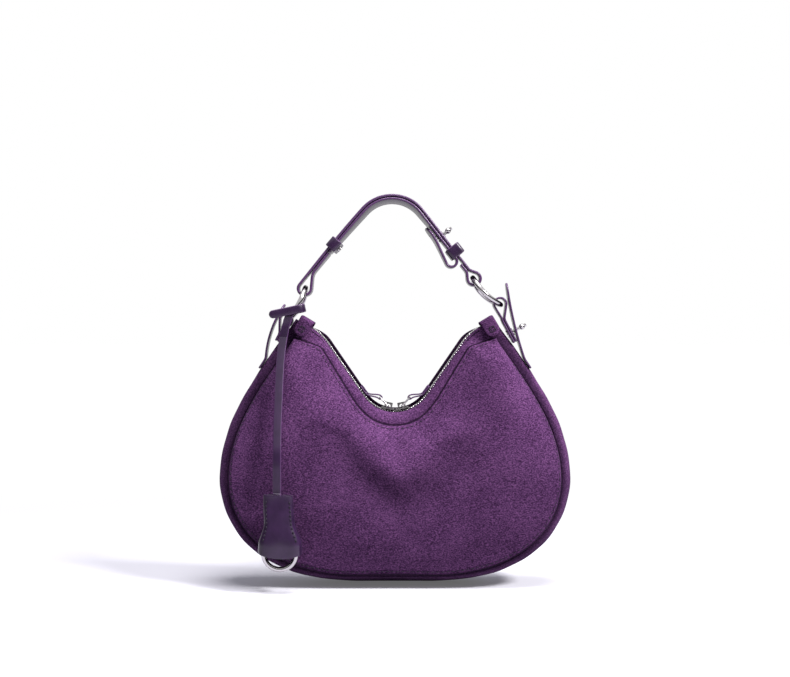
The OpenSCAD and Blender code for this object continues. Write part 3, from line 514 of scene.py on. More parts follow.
# %% Cloth, nickel and thread
def make_cloth():
    """Dark woven cloth: two sets of threads at a right angle. A wave repeats after 0.31 of its
    size, so the threads are 1 mm apart, about twice as coarse as real ones, to show at all."""
    material, tree, shader = new_finish(
        "dark_woven_cloth", {"Roughness": 0.9, "Specular IOR Level": 0.2}
    )
    place = add(tree, "ShaderNodeTexCoord", "Object")
    size = {"Vector": place, "Scale": repeats(3.1)}
    warp = add(tree, "ShaderNodeTexWave", "Fac", size, bands_direction="X")
    weft = add(tree, "ShaderNodeTexWave", "Fac", size, bands_direction="Z")
    weave = add(tree, "ShaderNodeMath", "Value", {0: warp, 1: weft}, operation="MULTIPLY")
    tones = [(0.2, "#1d1424"), (0.8, "#2f2338")]
    colour = add(tree, "ShaderNodeValToRGB", "Color", {"Fac": weave}, tones)
    bump = add(tree, "ShaderNodeBump", "Normal", {"Height": weave, "Distance": 0.15 * MM})
    put(tree, shader, {"Base Color": colour, "Normal": bump})
    return material


def make_nickel():
    """Polished nickel with the faint wear that hands leave: it is a little duller in patches."""
    material, tree, shader = new_finish(
        "polished_nickel",
        {"Base Color": hex_colour("#b3afb2"), "Metallic": 1.0, "Roughness": 0.13},
    )
    place = add(tree, "ShaderNodeTexCoord", "Object")
    patches = {"Vector": place, "Scale": repeats(4), "Detail": 3.0}
    wear = add(tree, "ShaderNodeTexNoise", "Fac", patches)
    dull = {"Value": wear, "To Min": 0.08, "To Max": 0.22}
    rough = add(tree, "ShaderNodeMapRange", "Result", dull)
    put(tree, shader, {"Roughness": rough})
    return material


def make_thread():
    """Waxed sewing thread, much darker than the suede."""
    thread_look = {
        "Base Color": hex_colour("#1d0f26"),
        "Roughness": 0.55,
        "Specular IOR Level": 0.35,
    }
    return new_finish("waxed_purple_thread", thread_look)[0]


cloth = make_cloth()
nickel = make_nickel()
thread = make_thread()
CLOTH = {"slot": "cloth", "material": cloth}
NICKEL = {"slot": "polished_metal", "material": nickel}
print("finishes:", [m.name for m in (cloth, nickel, thread)])

# %% [markdown]
# ## The side band
# The band is one long strip of suede sewn between the two panels. It runs from one tip of the
# half moon under the bag to the other, 60 mm wide at the base and 18 mm at the tips. Across,
# it is flat in the middle and falls away to both seams, which gives the bag its full, rounded
# edge. As a grid: the place along the outline is one direction and the place across the other.

# %% Band formula and band
BAND_W, BAND_TIP_W = 60.0, 18.0
BAND_FLAT = 0.3  # the share of the half width that is flat
BAND_CROWN = 9.0  # how far the flanks fall away to their seams
FRONT_RISE = 12.0  # how far the front pulls its side of the base up
FLANK_AT = 0.4  # the share of the half outline where the flank begins
BAND_ROLL, BAND_TUCK = 7.0, 4.0  # reach and depth of the rolled edge at a seam
SEAM_RUN = 1.3  # the way over that edge, compared with straight across
SUEDE_T = 1.8
SEAT_GAP = 0.2
PANEL_TIP = 0.955  # the share of the half outline where the panels end, under the yokes


def band_drop(s, w):
    """How far the band has fallen back from the outline at share w of its half width. The flanks
    are rounded alike to both seams; under the bag the heavy front pulls its side of the base up."""
    even = np.maximum(0, (np.abs(w) - BAND_FLAT) / (1 - BAND_FLAT)) ** 2
    front = FRONT_RISE * np.clip((0.5 - w) / 1.5, 0, 1) ** 1.3
    under = np.maximum(front, 0.75 * BAND_CROWN * even * (w > 0))
    return mix(under, BAND_CROWN * even, smooth(s / FLANK_AT))


def band_half(s):
    """Half the band's width: full under the bag, and narrower up the flank to the tip."""
    return mix(BAND_W, BAND_TIP_W, smooth((s - FLANK_AT) / (1 - FLANK_AT))) / 2


def band_edge(s, side):
    """The seam between band and panel, in front for side -1 and at the back for 1."""
    return along(band_line, s) - outward(band_line, s) * band_drop(s, np.full_like(s, side))[..., None]


def rolled(d, reach, deep):
    """How far a rolled edge has dropped at distance d from the seam: a quarter of an ellipse."""
    return deep * (1 - np.sqrt(1 - np.clip(1 - d / reach, 0, 1) ** 2))


def band_surface(t, w, inset):
    """t from -1 to 1 along the outline, w from -1 to 1 across; inset millimetres inside the outer
    face. A slight ripple keeps it from looking like sheet metal."""
    s = np.abs(t)
    ripple = 0.25 * np.sin(s * 61 + 2 * w) * np.cos(s * 23) * (1 - np.abs(w) ** 3)
    half = band_half(s)
    tuck = rolled((1 - np.abs(w)) * half * SEAM_RUN, BAND_ROLL, BAND_TUCK * smooth(half / 20))
    sunk = band_drop(s, w) - ripple * smooth(s * 4) + inset
    q = along(band_line, s) - outward(band_line, s) * sunk[..., None]
    return np.stack([np.sign(t) * q[..., 0], w * half - np.sign(w) * tuck, q[..., 1]], -1)


t, w = grid_of(np.linspace(1, -1, 321), dense_at_ends(57))
band_grid = band_surface(t, w, 0)
side_band = shell_piece(
    "side_band_suede", band_grid, SUEDE_T, 0.6, body="bag", replaces=("side_band",), **SUEDE
)
# Painted shade: the band darkens towards each seam over about 9 mm, in the trough beside the rolled
# edge, together with the nap pressed at the seam
from_seam = (1 - np.abs(w)) * band_half(np.abs(t)) * SEAM_RUN
mark(side_band, "seam", 0.7 * (1 - smooth((from_seam - 2) / 7)))
print("band grid", band_grid.shape, "lowest point", round(float(band_grid[..., 2].min()), 2), "mm")

# %% [markdown]
# ## Front and back panel
# Each panel is cut to the half moon and stretched over the empty bag, so it swells, sags under
# the zip and folds. The surface starts from the seam lines: one grid direction follows them,
# the other goes from the mouth to the band. A swell is added, then folds: each fold is a soft
# ridge or valley along a short line, of which the height falls off with distance as a bell
# curve. In the photograph the cloth below the zip stands out in a V and darkens under it.

# %% Depth of a panel, and one fold
MOUTH_HALF_D = 14.0
PANEL_SWELL = 13.0
MOUTH_CALM, BAND_CALM = 14, 18  # how far from each seam the folds have their full height
PUCKER = 0.3  # height of the small waves along the seams
STITCH_INSET, FURROW = 3.4, 0.4  # from a seam to its row of stitches, and how deep they pull


def seam_half(s):
    """Half depth of the bag along the seam between panel and facing."""
    return mix(MOUTH_HALF_D, BAND_TIP_W / 2 + SUEDE_T, s * s)


def panel_depth(s, v):
    """How far a panel stands from the bag's middle plane, as two sums: straight from the mouth
    seam to the band seam, and the swell on it, which is a sine from seam to seam."""
    flat = mix(seam_half(s), band_half(s * PANEL_TIP) + SEAT_GAP + SUEDE_T, v)
    return flat, PANEL_SWELL * np.maximum(0, 1 - s * s) ** 0.6 * np.sin(math.pi * v**0.85)


def fold(p, line, wide, high, under=None):
    """A ridge of that height along a chain of points, with flanks wide millimetres wide. A
    width given for under makes its lower flank steeper or flatter than the upper one."""
    line = np.array(line, float)
    if under is not None:
        above = p[..., 1] - np.interp(p[..., 0], line[:, 0], line[:, 1])
        wide = mix(under, wide, smooth(above / 14 + 0.5))
    d = np.full(p.shape[:-1], np.inf)
    for a, b in zip(line[:-1], line[1:]):
        u = np.clip(((p - a) @ (b - a)) / ((b - a) @ (b - a)), 0, 1)
        d = np.minimum(d, np.linalg.norm(p - a - u[..., None] * (b - a), axis=-1))
    return high * np.exp(-((d / wide) ** 2))


print("half depth at the mouth", float(seam_half(0)), "and at the horns", float(seam_half(1)), "mm")

# %% Folds and marks, read off the photograph
# Each fold: its points in the bag's plane, how wide its flanks are, and its height, where less
# than 0 is a valley. The V has a lower flank of its own width.
FRONT_FOLDS = [
    ([(-36, 136), (-17, 113), (2, 97), (18, 108), (28, 126)], 24, 6.5, 16),
    ([(-50, 112), (-26, 90), (2, 74), (28, 84), (54, 108)], 16, -2.4),
    ([(42, 180), (33, 150), (25, 130)], 8, -3.0),
    ([(-92, 190), (-72, 150), (-60, 120)], 12, 1.5),
    ([(-122, 120), (-112, 70)], 16, -1.2),
    ([(88, 188), (104, 140), (108, 100)], 15, 1.5),
    ([(60, 40), (100, 60)], 18, 1.0),
    ([(-30, 40), (30, 36)], 20, 1.2),
]
# Painted shade under the V, where the suede turns down, and painted light in the V's corner, where that
# painted shade is left out
SHADE_UNDER_V = [(-70, 116), (-48, 98), (-14, 78), (14, 78), (40, 92), (56, 110)]
LIGHT_IN_V = [(-12, 128), (1, 106), (12, 122)]
# The back isn't seen in the photograph, so its folds are made up
BACK_FOLDS = [
    ([(-30, 130), (4, 96), (34, 128)], 16, 3.2),
    ([(-40, 80), (48, 84)], 18, -2.2),
    ([(-90, 185), (-60, 120)], 14, 1.4),
    ([(95, 170), (110, 110)], 14, -1.2),
]

print("folds:", len(FRONT_FOLDS), "in front,", len(BACK_FOLDS), "at the back")

# %% Front and back panel
def panel_grid(folds, phase, side):
    """The outer face of a panel, drawn in front for both: seams, swell, folds, a rolled edge,
    puckers and the furrow that the stitches pull. Gives it with its distances to both seams."""
    t = np.linspace(-1, 1, 301)
    v = np.linspace(0, 1, 121)
    v = mix(v, (1 - np.cos(math.pi * v)) / 2, 0.7)
    t, v = grid_of(t, v)
    s = np.abs(t)
    top, low = along(mouth_seam, s), band_edge(s * PANEL_TIP, side)
    q = mix(top, low, v[..., None])
    flat, swell = panel_depth(s, v)
    x, z = np.sign(t) * q[..., 0], q[..., 1]
    reach = np.linalg.norm(low - top, axis=-1)
    from_mouth, from_band = v * reach, (1 - v) * reach
    p = np.stack([x, z], -1)
    # Folds and lumps fade out near the seams, which hold the suede
    calm = smooth(from_mouth / MOUTH_CALM) * smooth(from_band / BAND_CALM)
    lumps = 0.7 * np.sin(x / 23 + phase) * np.sin(z / 19 + 2 * phase)
    lumps = lumps + 0.35 * np.sin(x / 11 - z / 13 + phase)
    y = flat + swell + (sum(fold(p, *f) for f in folds) + lumps) * calm
    # Puckers: small waves along both seams, which die away within a few millimetres
    waves = (s * run_of(mouth_seam)[-1] / 1.9, from_mouth), (s * 150, from_band)
    for wave, d in waves:
        y = y + PUCKER * np.sin(wave + phase) * np.exp(-d / 5) * smooth(d / 1.5)
    y = y - rolled(from_mouth, 1.6, 0.9)
    y = y - rolled(from_band, 4.5, BAND_TUCK * smooth(band_half(s) / 20))
    for d in (from_mouth, from_band):
        y = y - FURROW * np.exp(-(((d - STITCH_INSET) / 0.7) ** 2))
    return np.stack([x, -y, z], -1), from_mouth, from_band


panels = {}
for name, side, folds, phase in (("front", -1, FRONT_FOLDS, 0.8), ("back", 1, BACK_FOLDS, 2.1)):
    grid, from_mouth, from_band = panel_grid(folds, phase, side)
    grid = looking(grid * (1, -side, 1), 1, side)
    panels[name] = (grid, from_mouth, from_band)
    node = name + "_panel"
    panel = shell_piece(node + "_suede", grid, SUEDE_T, 0.3, body="bag", replaces=(node,), **SUEDE)
    at_mouth = 1 - smooth((from_mouth - 0.5) / 0.8)
    at_band = 0.9 - 0.9 * smooth((from_band - 0.8) / 1.2)
    # Painted shade: darker towards the bottom of the panel and under the V, and none in the V's corner,
    # which reads as painted light
    brushed_nap_and_painted_shade = 0.16 * smooth((140 - grid[..., 2]) / 50) + fold(grid[..., ::2], SHADE_UNDER_V, 22, 0.14)
    brushed_nap_and_painted_shade = brushed_nap_and_painted_shade * (1 - fold(grid[..., ::2], LIGHT_IN_V, 16, 1.0))
    mark(panel, "seam", np.maximum(np.maximum(at_mouth, at_band), brushed_nap_and_painted_shade))
    print(name, "panel reaches to y =", round(float(side * (side * grid[..., 1]).max()), 1), "mm")

# %% [markdown]
# ## The facing round the zip
# Two strips of suede lead from the panel seam up and over to the zip. Each is a grid again:
# along the zip, and from the zip slot over a quarter turn down to the seam, where its edge is
# tucked under the panel. At the horns it widens to the yoke that carries the end tabs.

# %% Zip line
MOUTH_Z, MOUTH_R = 147.0, 34.0
SLOT_HALF_W, FACING_T, TAPE_HALF_W, TAPE_T = 4.5, 1.0, 7.5, 0.6
FACING_TUCK = 1.7  # how far the facing's edge lies inside the panel's seam
MOUTH_TOP = MOUTH_Z + MOUTH_R
FACING_TOP = FACING_T + SEAT_GAP + TAPE_T / 2
TAPE_TOP = -FACING_T / 2

shoulder = scaled([[0.44, 0.952]])[0]
zip_end = scaled([[0.519, 0.972]])[0]
zip_turn = math.atan2(shoulder[1] - MOUTH_TOP, shoulder[0]) + math.asin(
    MOUTH_R / np.hypot(shoulder[0], shoulder[1] - MOUTH_TOP)
)
zip_way = np.array([math.cos(zip_turn), math.sin(zip_turn)])
limb_start = shoulder - np.linalg.norm(zip_end - shoulder) * zip_way
arc = np.linspace(0, zip_turn, 60)[:, None]
bend = np.linspace(0, 1, 30)[:, None]
zip_line = np.concatenate(
    [
        np.hstack([MOUTH_R * np.sin(arc), MOUTH_TOP - MOUTH_R * np.cos(arc)]),
        (1 - bend) ** 2 * limb_start + 2 * bend * (1 - bend) * shoulder + bend**2 * zip_end,
    ]
)
ZIP_HALF = run_of(zip_line)[-1]
print("zip:", round(2 * ZIP_HALF), "mm long")
print("its limbs rise at", round(math.degrees(zip_turn), 1), "degrees")

# %% Facings
def zip_point(l, lift):
    """The point l millimetres along the zip from its middle, lift millimetres above it."""
    s = np.abs(l) / ZIP_HALF
    p = along(zip_line, s) - np.asarray(lift)[..., None] * outward(zip_line, s)
    return np.stack([np.sign(l) * p[..., 0], p[..., 1]], -1)


facing_line = np.concatenate([mouth_seam, [band_edge(np.array(1.0), -1)]])


def facing_grid(lift):
    """From the slot's edge, a quarter turn down to the seam, then under the panel's edge.
    lift raises the lip beside the teeth."""
    t, v = grid_of(np.linspace(-1, 1, 301), np.linspace(0, 1, 25))
    s = np.abs(t)
    top = zip_point(s * ZIP_HALF, FACING_TOP + lift * smooth((1 - s) / 0.2))
    share = (1 - np.cos(math.pi / 2 * v)) * 1.02
    q = mix(top, along(facing_line, s), share[..., None])
    half = mix(SLOT_HALF_W, seam_half(s) - FACING_TUCK, np.sin(math.pi / 2 * v))
    q[..., 1] += 0.15 * np.sin(s * 130) * v * (1 - v) * 4
    return np.stack([np.sign(t) * q[..., 0], -half, q[..., 1]], -1)


# The front lip lies lower than the back one, so the photograph sees the teeth over it
for name, side, lift in (("front", -1, -0.6), ("back", 1, 3.2)):
    grid = looking(facing_grid(lift) * (1, -side, 1), 1, side)
    node = name + "_facing"
    facing = shell_piece(node + "_suede", grid, FACING_T, 0.2, body="bag", replaces=(node,), **SUEDE)
    across = np.broadcast_to(np.linspace(0, 1, grid.shape[1]), grid.shape[:2])
    at_lip, at_seam = 0.7 - 0.7 * smooth(across / 0.05), 0.8 * smooth((across - 0.93) / 0.04)
    mark(facing, "seam", np.maximum(at_lip, at_seam))
print("facings made, lips", FACING_T, "mm thick")

# %% [markdown]
# ## The zip
# A metal zip has two woven tapes, each with a row of teeth that grip the other row. The teeth
# are what shines along the mouth in the photograph. One tooth is a small rounded block; it is
# placed along the zip by giving every copy its own three directions, all at once with numpy.

# %% Rounded block and copies along a path
def block(power=0.45, rows=6, cols=12):
    """A rounded unit block: a ball whose sines and cosines are raised to a low power. It has a
    pole at each end."""
    u = np.linspace(-math.pi / 2, math.pi / 2, rows + 1)[1:-1]
    v = np.linspace(0, 2 * math.pi, cols, endpoint=False)

    def bulge(a):
        """The value raised to the power, with its sign kept."""
        return np.sign(a) * np.abs(a) ** power

    ring = np.stack(
        [
            bulge(np.cos(u))[:, None] * bulge(np.cos(v)),
            bulge(np.cos(u))[:, None] * bulge(np.sin(v)),
            np.broadcast_to(bulge(np.sin(u))[:, None], (len(u), cols)),
        ],
        -1,
    ).reshape(-1, 3)
    verts = np.concatenate([ring, [[0, 0, -1]], [[0, 0, 1]]]) / 2
    n = len(ring)
    k = np.arange(cols)
    low = np.stack([np.full(cols, n), (k + 1) % cols, k], -1).tolist()
    top = (n - cols + np.stack([k, (k + 1) % cols], -1)).tolist()
    return verts, grid_faces(len(u), cols, True).tolist() + low + [[*pair, n + 1] for pair in top]


def copies(name, centres, ways, sizes, power=0.45, rows=6, cols=12, **facts):
    """One mesh of many blocks: each is the block times its size, turned to its three ways and
    put at its centre."""
    verts, faces = block(power, rows, cols)
    points = np.einsum("vj,kj,kji->kvi", verts, np.broadcast_to(sizes, (len(centres), 3)), ways)
    points = (points + centres[:, None, :]).reshape(-1, 3)
    shift = len(verts)
    many = [[i + k * shift for i in f] for k in range(len(centres)) for f in faces]
    return new_piece(name, points, many, **facts)


def ways_along(points, up):
    """Three unit directions at each point: along the path, up made square to it, and across."""
    a = np.gradient(points, axis=0)
    a /= np.linalg.norm(a, axis=1, keepdims=True)
    b = up - np.einsum("ij,ij->i", up, a)[:, None] * a
    b /= np.linalg.norm(b, axis=1, keepdims=True)
    return np.stack([a, b, np.cross(a, b)], 1)


print("a block has", len(block()[0]), "points and", len(block()[1]), "faces")

# %% Tapes and teeth
TOOTH_PITCH, TOOTH_L, TOOTH_W, TOOTH_H = 2.4, 1.35, 2.3, 3.0
TOOTH_FOOT = TAPE_TOP + SEAT_GAP / 2
TOOTH_SINK, TOOTH_GRIP = 0.1, 0.25  # lower than the CAD tooth, and over into the other row
ROW_GAP = TAPE_T
teeth = 2 * int(ZIP_HALF / TOOTH_PITCH) - 4

l, y = grid_of(np.linspace(-ZIP_HALF, ZIP_HALF, 241), np.linspace(ROW_GAP, TAPE_HALF_W, 7))
tape = zip_point(l, np.full_like(l, TAPE_TOP))
front_tape = looking(np.stack([tape[..., 0], -y, tape[..., 1]], -1), 2, 1)
for name, grid in (("front", front_tape), ("back", (front_tape * (1, -1, 1))[::-1])):
    node = name + "_zip_tape"
    shell_piece(node + "_cloth", grid, TAPE_T, 0.15, body="bag", replaces=(node,), **CLOTH)

for name, side, shift in (("front", -1, 0.0), ("back", 1, 0.5)):
    l = (-teeth / 2 + shift + 0.3 + np.arange(teeth)) * TOOTH_PITCH
    p = zip_point(l, np.full_like(l, TOOTH_FOOT + TOOTH_H / 2 - TOOTH_SINK))
    high = zip_point(l, np.full_like(l, TOOTH_FOOT + TOOTH_H / 2 + 1)) - p
    y = np.full(teeth, side * (ROW_GAP + TOOTH_W / 2 - TOOTH_GRIP))
    centre = np.stack([p[:, 0], y, p[:, 1]], -1)
    up = np.stack([high[:, 0], np.zeros(teeth), high[:, 1]], -1)
    copies(
        name + "_zip_teeth_nickel",
        centre,
        ways_along(centre, up),
        (TOOTH_L, TOOTH_H - 2 * TOOTH_SINK, TOOTH_W + 2 * TOOTH_GRIP),
        power=0.5,
        body="bag",
        replaces=(name + "_zip_teeth",),
        **NICKEL,
    )
print("teeth per row:", teeth)

# %% [markdown]
# ## Stitches
# A seam is a row of short threads, and their pull leaves a shallow furrow in the suede. A
# stitch is the same rounded block, long and thin. One is put about every four millimetres along
# a line taken from the panel's own grid, so it lies on the suede however that swells and folds.

# %% Seam stitches on the panels
SEAM_PITCH, SEAM_STITCH = 4.2, (3.1, 0.7, 0.7)
STITCH_LIFT = 0.05
UNSEWN = 12  # rows of the grid that are left free at each horn
THREAD = {"power": 0.8, "rows": 4, "cols": 6, "material": thread}  # a stitch is a coarse block


def stitches(name, path, up, pitch, size, **facts):
    """Blocks at an even pitch along the path, laid along it and facing up."""
    n = max(2, int(run_of(path)[-1] / pitch))
    share = (np.arange(n) + 0.5) / n
    p = along(path, share)
    u = along(np.concatenate([path, up], axis=1), share)[:, 3:]
    return copies(name, p, ways_along(p, u), size, **THREAD, **facts)


def line_at(grid, distance, wanted):
    """The grid's points at the wanted distance, read from the distances across each row."""
    order = np.argsort(distance, axis=1)
    d = np.take_along_axis(distance, order, 1)
    k = np.argmax(d > wanted, axis=1)
    i = np.arange(len(grid))
    lo, hi = d[i, np.maximum(k - 1, 0)], d[i, k]
    f = ((wanted - lo) / np.maximum(hi - lo, 1e-9))[:, None]
    j0, j1 = order[i, np.maximum(k - 1, 0)], order[i, k]
    n = grid_normals(grid)
    return mix(grid[i, j0], grid[i, j1], f), n[i, j0]


for side, (grid, from_mouth, from_band) in panels.items():
    for seam, distance in (("band", from_band), ("mouth", from_mouth)):
        path, up = line_at(grid, distance, STITCH_INSET)
        path, up = (path + STITCH_LIFT * up)[UNSEWN:-UNSEWN], up[UNSEWN:-UNSEWN]
        row = side + "_" + seam + "_seam_stitches"
        stitches(row, path, up, SEAM_PITCH, SEAM_STITCH, body="bag")
print("seam stitches made")

# %% [markdown]
# ## End tabs
# At each horn a suede tab is folded over the end of the zip and sewn through with a small box
# of dark stitches. It is a strap whose middle line goes down the front, over the top with two
# round corners, and down the back; both of its ends are cut round.

# %% Paths for straps
def trail(start, heading, moves):
    """A plane line from a start and a heading in degrees. Each move is a length and the angle
    turned on the way, so that it is straight or an arc of a circle."""
    p, a = np.array(start, float), math.radians(heading)
    parts = [p[None, :]]
    for length, turn in moves:
        th = math.radians(turn)
        u = np.linspace(0, 1, max(3, int(length / 0.6)))[1:, None]
        if abs(th) < 1e-9:
            q = p + length * u * [math.cos(a), math.sin(a)]
        else:
            bow = np.hstack([np.sin(a + th * u) - math.sin(a), math.cos(a) - np.cos(a + th * u)])
            q = p + length / th * bow
        parts.append(q)
        p, a = q[-1], a + th
    return np.concatenate(parts)


def tilted(degrees):
    """Three directions: one in the plane of the bag's front at this angle from level, the Y
    axis, and the one square to both."""
    a = math.radians(degrees)
    return (math.cos(a), 0, math.sin(a)), (0, 1, 0), (-math.sin(a), 0, math.cos(a))


IN_FRONT_PLANE = ((0, 0, 0), (1, 0, 0), (0, 0, 1), (0, 1, 0))
print("a straight and a quarter circle end at", trail((0, 0), 0, [(10, 0), (10, 90)])[-1].round(1))

# %% End tabs
END_TAB_W, END_TAB_L = 12.6, 10.5
END_TAB_HALF = float(seam_half(0.7)) + SEAT_GAP + SUEDE_T / 2
END_TAB_CORNER = 2.5
# Where each tab's middle goes over the horn, in the bag's plane, and its slope in degrees
END_TABS = {"left": ((-74.1, 228.2), 59.0), "right": ((77.55, 228.2), 121.0)}
BOX = 2.3 * np.array([[-1, -1], [1, -1], [1, 1], [-1, 1], [-1, -1], [1, 1], [1, -1], [-1, 1]])
BOX_SIDES = (0, 1, 2, 3, 4, 6)  # four sides and both diagonals, each from its corner to the next
BOX_STITCH = (2.0, 0.8, 0.8)


def box_stitches(name, face, origin, e1, e3):
    """A sewn square with a cross in it, two threads to each side, on one face of an end tab."""
    flat = BOX - (END_TAB_L, 0)
    lift = (0, face * (END_TAB_HALF + SUEDE_T / 2 + STITCH_LIFT), 0)
    path = np.array(origin) + flat[:, :1] * np.array(e1) + flat[:, 1:] * np.array(e3) + lift
    ends = [(path[k], path[k + 1]) for k in BOX_SIDES]
    mids = np.array([mix(a, b, f) for a, b in ends for f in (0.27, 0.73)])
    ahead = np.array([(b - a) / np.linalg.norm(b - a) for a, b in ends for _ in (0, 1)])
    up = np.broadcast_to(np.array([0.0, face, 0.0]), ahead.shape)
    ways = np.stack([ahead, up, np.cross(ahead, up)], 1)
    copies(name, mids, ways, BOX_STITCH, body="bag", **THREAD)


leaf = END_TAB_L + END_TAB_W / 2
leg, over = leaf - END_TAB_CORNER - SUEDE_T / 2, 2 * (END_TAB_HALF - END_TAB_CORNER)
turn = (END_TAB_CORNER * math.pi / 2, 90)
line = trail((-leaf, -END_TAB_HALF), 0, [(leg, 0), turn, (over, 0), turn, (leg, 0)])
for name, ((x, z), heading) in END_TABS.items():
    origin, (e1, e2, e3) = (x, 0, z), tilted(heading)
    strap_piece(
        name + "_end_tab_suede",
        line,
        END_TAB_W,
        SUEDE_T,
        (origin, e1, e2, e3),
        (1, 1),
        body="bag",
        replaces=(name + "_end_tab",),
        **SUEDE,
    )
    box_stitches(name + "_front_box_stitches", -1, origin, e1, e3)
    box_stitches(name + "_back_box_stitches", 1, origin, e1, e3)
print("end tabs made")

# %% [markdown]
# ## Inside: lining, slip pocket and base board
# The bag is closed, so the lining is never seen in this photograph, but it is a piece of its
# own: two thin sheets of cloth a little inside the panels, and a flat pocket sewn to the back
# one. A stiff board under the lining keeps the base flat.

# %% Lining and pocket
LINING_T, LINING_GAP = 0.5, 1.2
LINING_INSET = SUEDE_T + LINING_GAP
LINING_NARROW = 0.985  # the lining's width, compared with the panels'
LINING_SHRINK = 0.025  # how far it is drawn in towards its own middle height
LINING_MIDDLE = MOUTH_Z * 0.6
BOARD_T = 2.0


def lining_grid(side):
    """The panel's own seams and swell, drawn in by a little, with slack waves in the cloth."""
    t, v = grid_of(np.linspace(-1, 1, 97), np.linspace(0.1, 1, 33))
    s = np.abs(t)
    q = mix(along(mouth_seam, s), band_edge(s * PANEL_TIP, side), v[..., None])
    flat, swell = panel_depth(s, v)
    wave = 0.25 * np.sin(q[..., 0] / 9 + side) * np.sin(q[..., 1] / 14) - 0.3
    wave = wave - rolled((1 - v) * 90, BAND_ROLL, BAND_TUCK)
    z = q[..., 1] * (1 - LINING_SHRINK) + LINING_MIDDLE * LINING_SHRINK
    z = np.maximum(z, SUEDE_T + BOARD_T + 0.6)
    y = side * (flat - LINING_INSET + swell + wave)
    return np.stack([np.sign(t) * q[..., 0] * LINING_NARROW, y, z], -1)


for name, side in (("front", -1), ("back", 1)):
    grid = looking(lining_grid(side), 1, side)
    facts = {"replaces": ("lining",)} if side < 0 else {}
    shell_piece(name + "_lining_cloth", grid, LINING_T, 0.15, body="bag", **facts, **CLOTH)

low, high = [np.array(c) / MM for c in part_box("slip_pocket")]
u, v = grid_of(np.linspace(low[0], high[0], 41), np.linspace(low[2], high[2], 21))
slack = 0.1 * np.sin(u / 9) * np.sin(v / 12)
pocket = looking(np.stack([u, np.full_like(u, low[1]) + slack, v], -1), 1, -1)
shell_piece(
    "slip_pocket_cloth", pocket, LINING_T, 0.15, body="bag", replaces=("slip_pocket",), **CLOTH
)
# The board fills the middle of the base: this share of the outline, and of the band's width
t, w = grid_of(np.linspace(-0.15, 0.15, 61), np.linspace(-0.68, 0.72, 29))
board = looking(band_surface(t, w, SUEDE_T + 0.6), 2, -1)
shell_piece("base_board_cloth", board, BOARD_T, 0.4, body="bag", replaces=("base_board",), **CLOTH)
print("lining, pocket and board made")

# %% [markdown]
# ## The handle
# Two straps lie on each other. The outer one is folded round a ring at both ends; the inner
# one is buckled under it: its right end is turned back on itself round a keeper, held by a
# stud. The photograph shows them from their thin side, so each is drawn as its middle line,
# as a trail of straights and arcs, and carried as a rounded strap 18 mm wide.

# %% Handle measures
STRAP_W, STRAP_T = 18.0, 2.4
RUN_GAP = 0.35
RING_D, RING_WIRE, RING_BOW = 33.6, 4.5, 3.2
EYE_R = RING_WIRE / 2 + RUN_GAP + 1.8
LAP_GAP = SEAT_GAP + RUN_GAP / 2
STRAP_LAP = STRAP_T + LAP_GAP
STRAP_EYE = EYE_R + STRAP_T / 2
ARCH_R = 34 - STRAP_T / 2
HANDLE_TOP = np.array([-2.6, BODY_H + 106 - STRAP_T / 2])
HORN = band_line[-1]
RETURN_L = 12.0
KEEPER_L, KEEPER_T = 10.0, 2.2
DROOP = {-1: 4.0, 1: 2.0}
# Where the limbs end, read off the photograph: just inside the left horn, well inside the right
LIMB_END = {-1: (3.1 - HORN[0], HORN[1] + 29.5), 1: (HORN[0] - 24.5, HORN[1] + 46.1)}
HANDLE_TWIST = 9.0  # how far the straps show their under side at the bend, in degrees
TWIST_FROM, TWIST_TO = (-82, 60), (52, 40)  # where along x it sets in and ends, and over what length
LOOP_VEER, TAIL_VEER = 33.0, 13.0  # angles at which straps swing back beside themselves
# By how much straps are drawn thinner than they are, so that layers stay apart at every pose
STRAP_SHAVE, KEEPER_SHAVE, SHAVE = 0.15, 0.2, 0.1


def limb_way(side):
    """Slope and length of a limb: it leaves the bend as a tangent and ends at its place by the horn."""
    vx, vz = side * (LIMB_END[side][0] - HANDLE_TOP[0]), LIMB_END[side][1] - HANDLE_TOP[1] + ARCH_R
    half, far = math.radians(DROOP[side] / 2), math.hypot(vx, vz)
    gape = math.acos(ARCH_R * math.cos(half) / far)
    chord = far * math.sin(gape) + ARCH_R * math.sin(half)
    return math.degrees(math.atan2(vx, vz) - gape - half), chord * half / math.sin(half)


# For each side: the angle from upright at which a limb starts, and its length
LEAN, LIMB = {}, {}
for side in (-1, 1):
    LEAN[side], LIMB[side] = limb_way(side)
print("limbs lean", {k: round(v, 1) for k, v in LEAN.items()}, "degrees")
print("and are long", {k: round(v, 1) for k, v in LIMB.items()}, "mm")

# %% Loops, folds and places along a limb
def loop_moves(r, lap, hand, veer=20.0):
    """A strap swings out, goes round a bar of radius r and comes back beside itself."""
    a = math.radians(veer)
    side = ((r * math.cos(a) - lap / 2 - r * (1 - math.cos(a))) / math.sin(a), 0)
    swing = (r * a, hand * veer)
    return [swing, side, (r * math.radians(180 + 2 * veer), -hand * (180 + 2 * veer)), side, swing]


def loop_reach(r, lap, veer=20.0):
    """How far beyond the start of such a loop its bar lies."""
    a = math.radians(veer)
    return 2 * r * math.sin(a) + (r * math.cos(a) - lap / 2 - r * (1 - math.cos(a))) / math.tan(a)


def fold_moves(r, lap, bend, veer, hand):
    """A fold with its first layer straight: the second swings in until it lies beside it."""
    a = math.radians(veer)
    side = (r * (1 + math.cos(a)) - bend * (1 - math.cos(a)) - lap) / math.sin(a)
    reach = (r + bend) * math.sin(a) + side * math.cos(a)
    over = (r * math.radians(180 + veer), -hand * (180 + veer))
    return [over, (side, 0), (bend * a, hand * veer)], reach


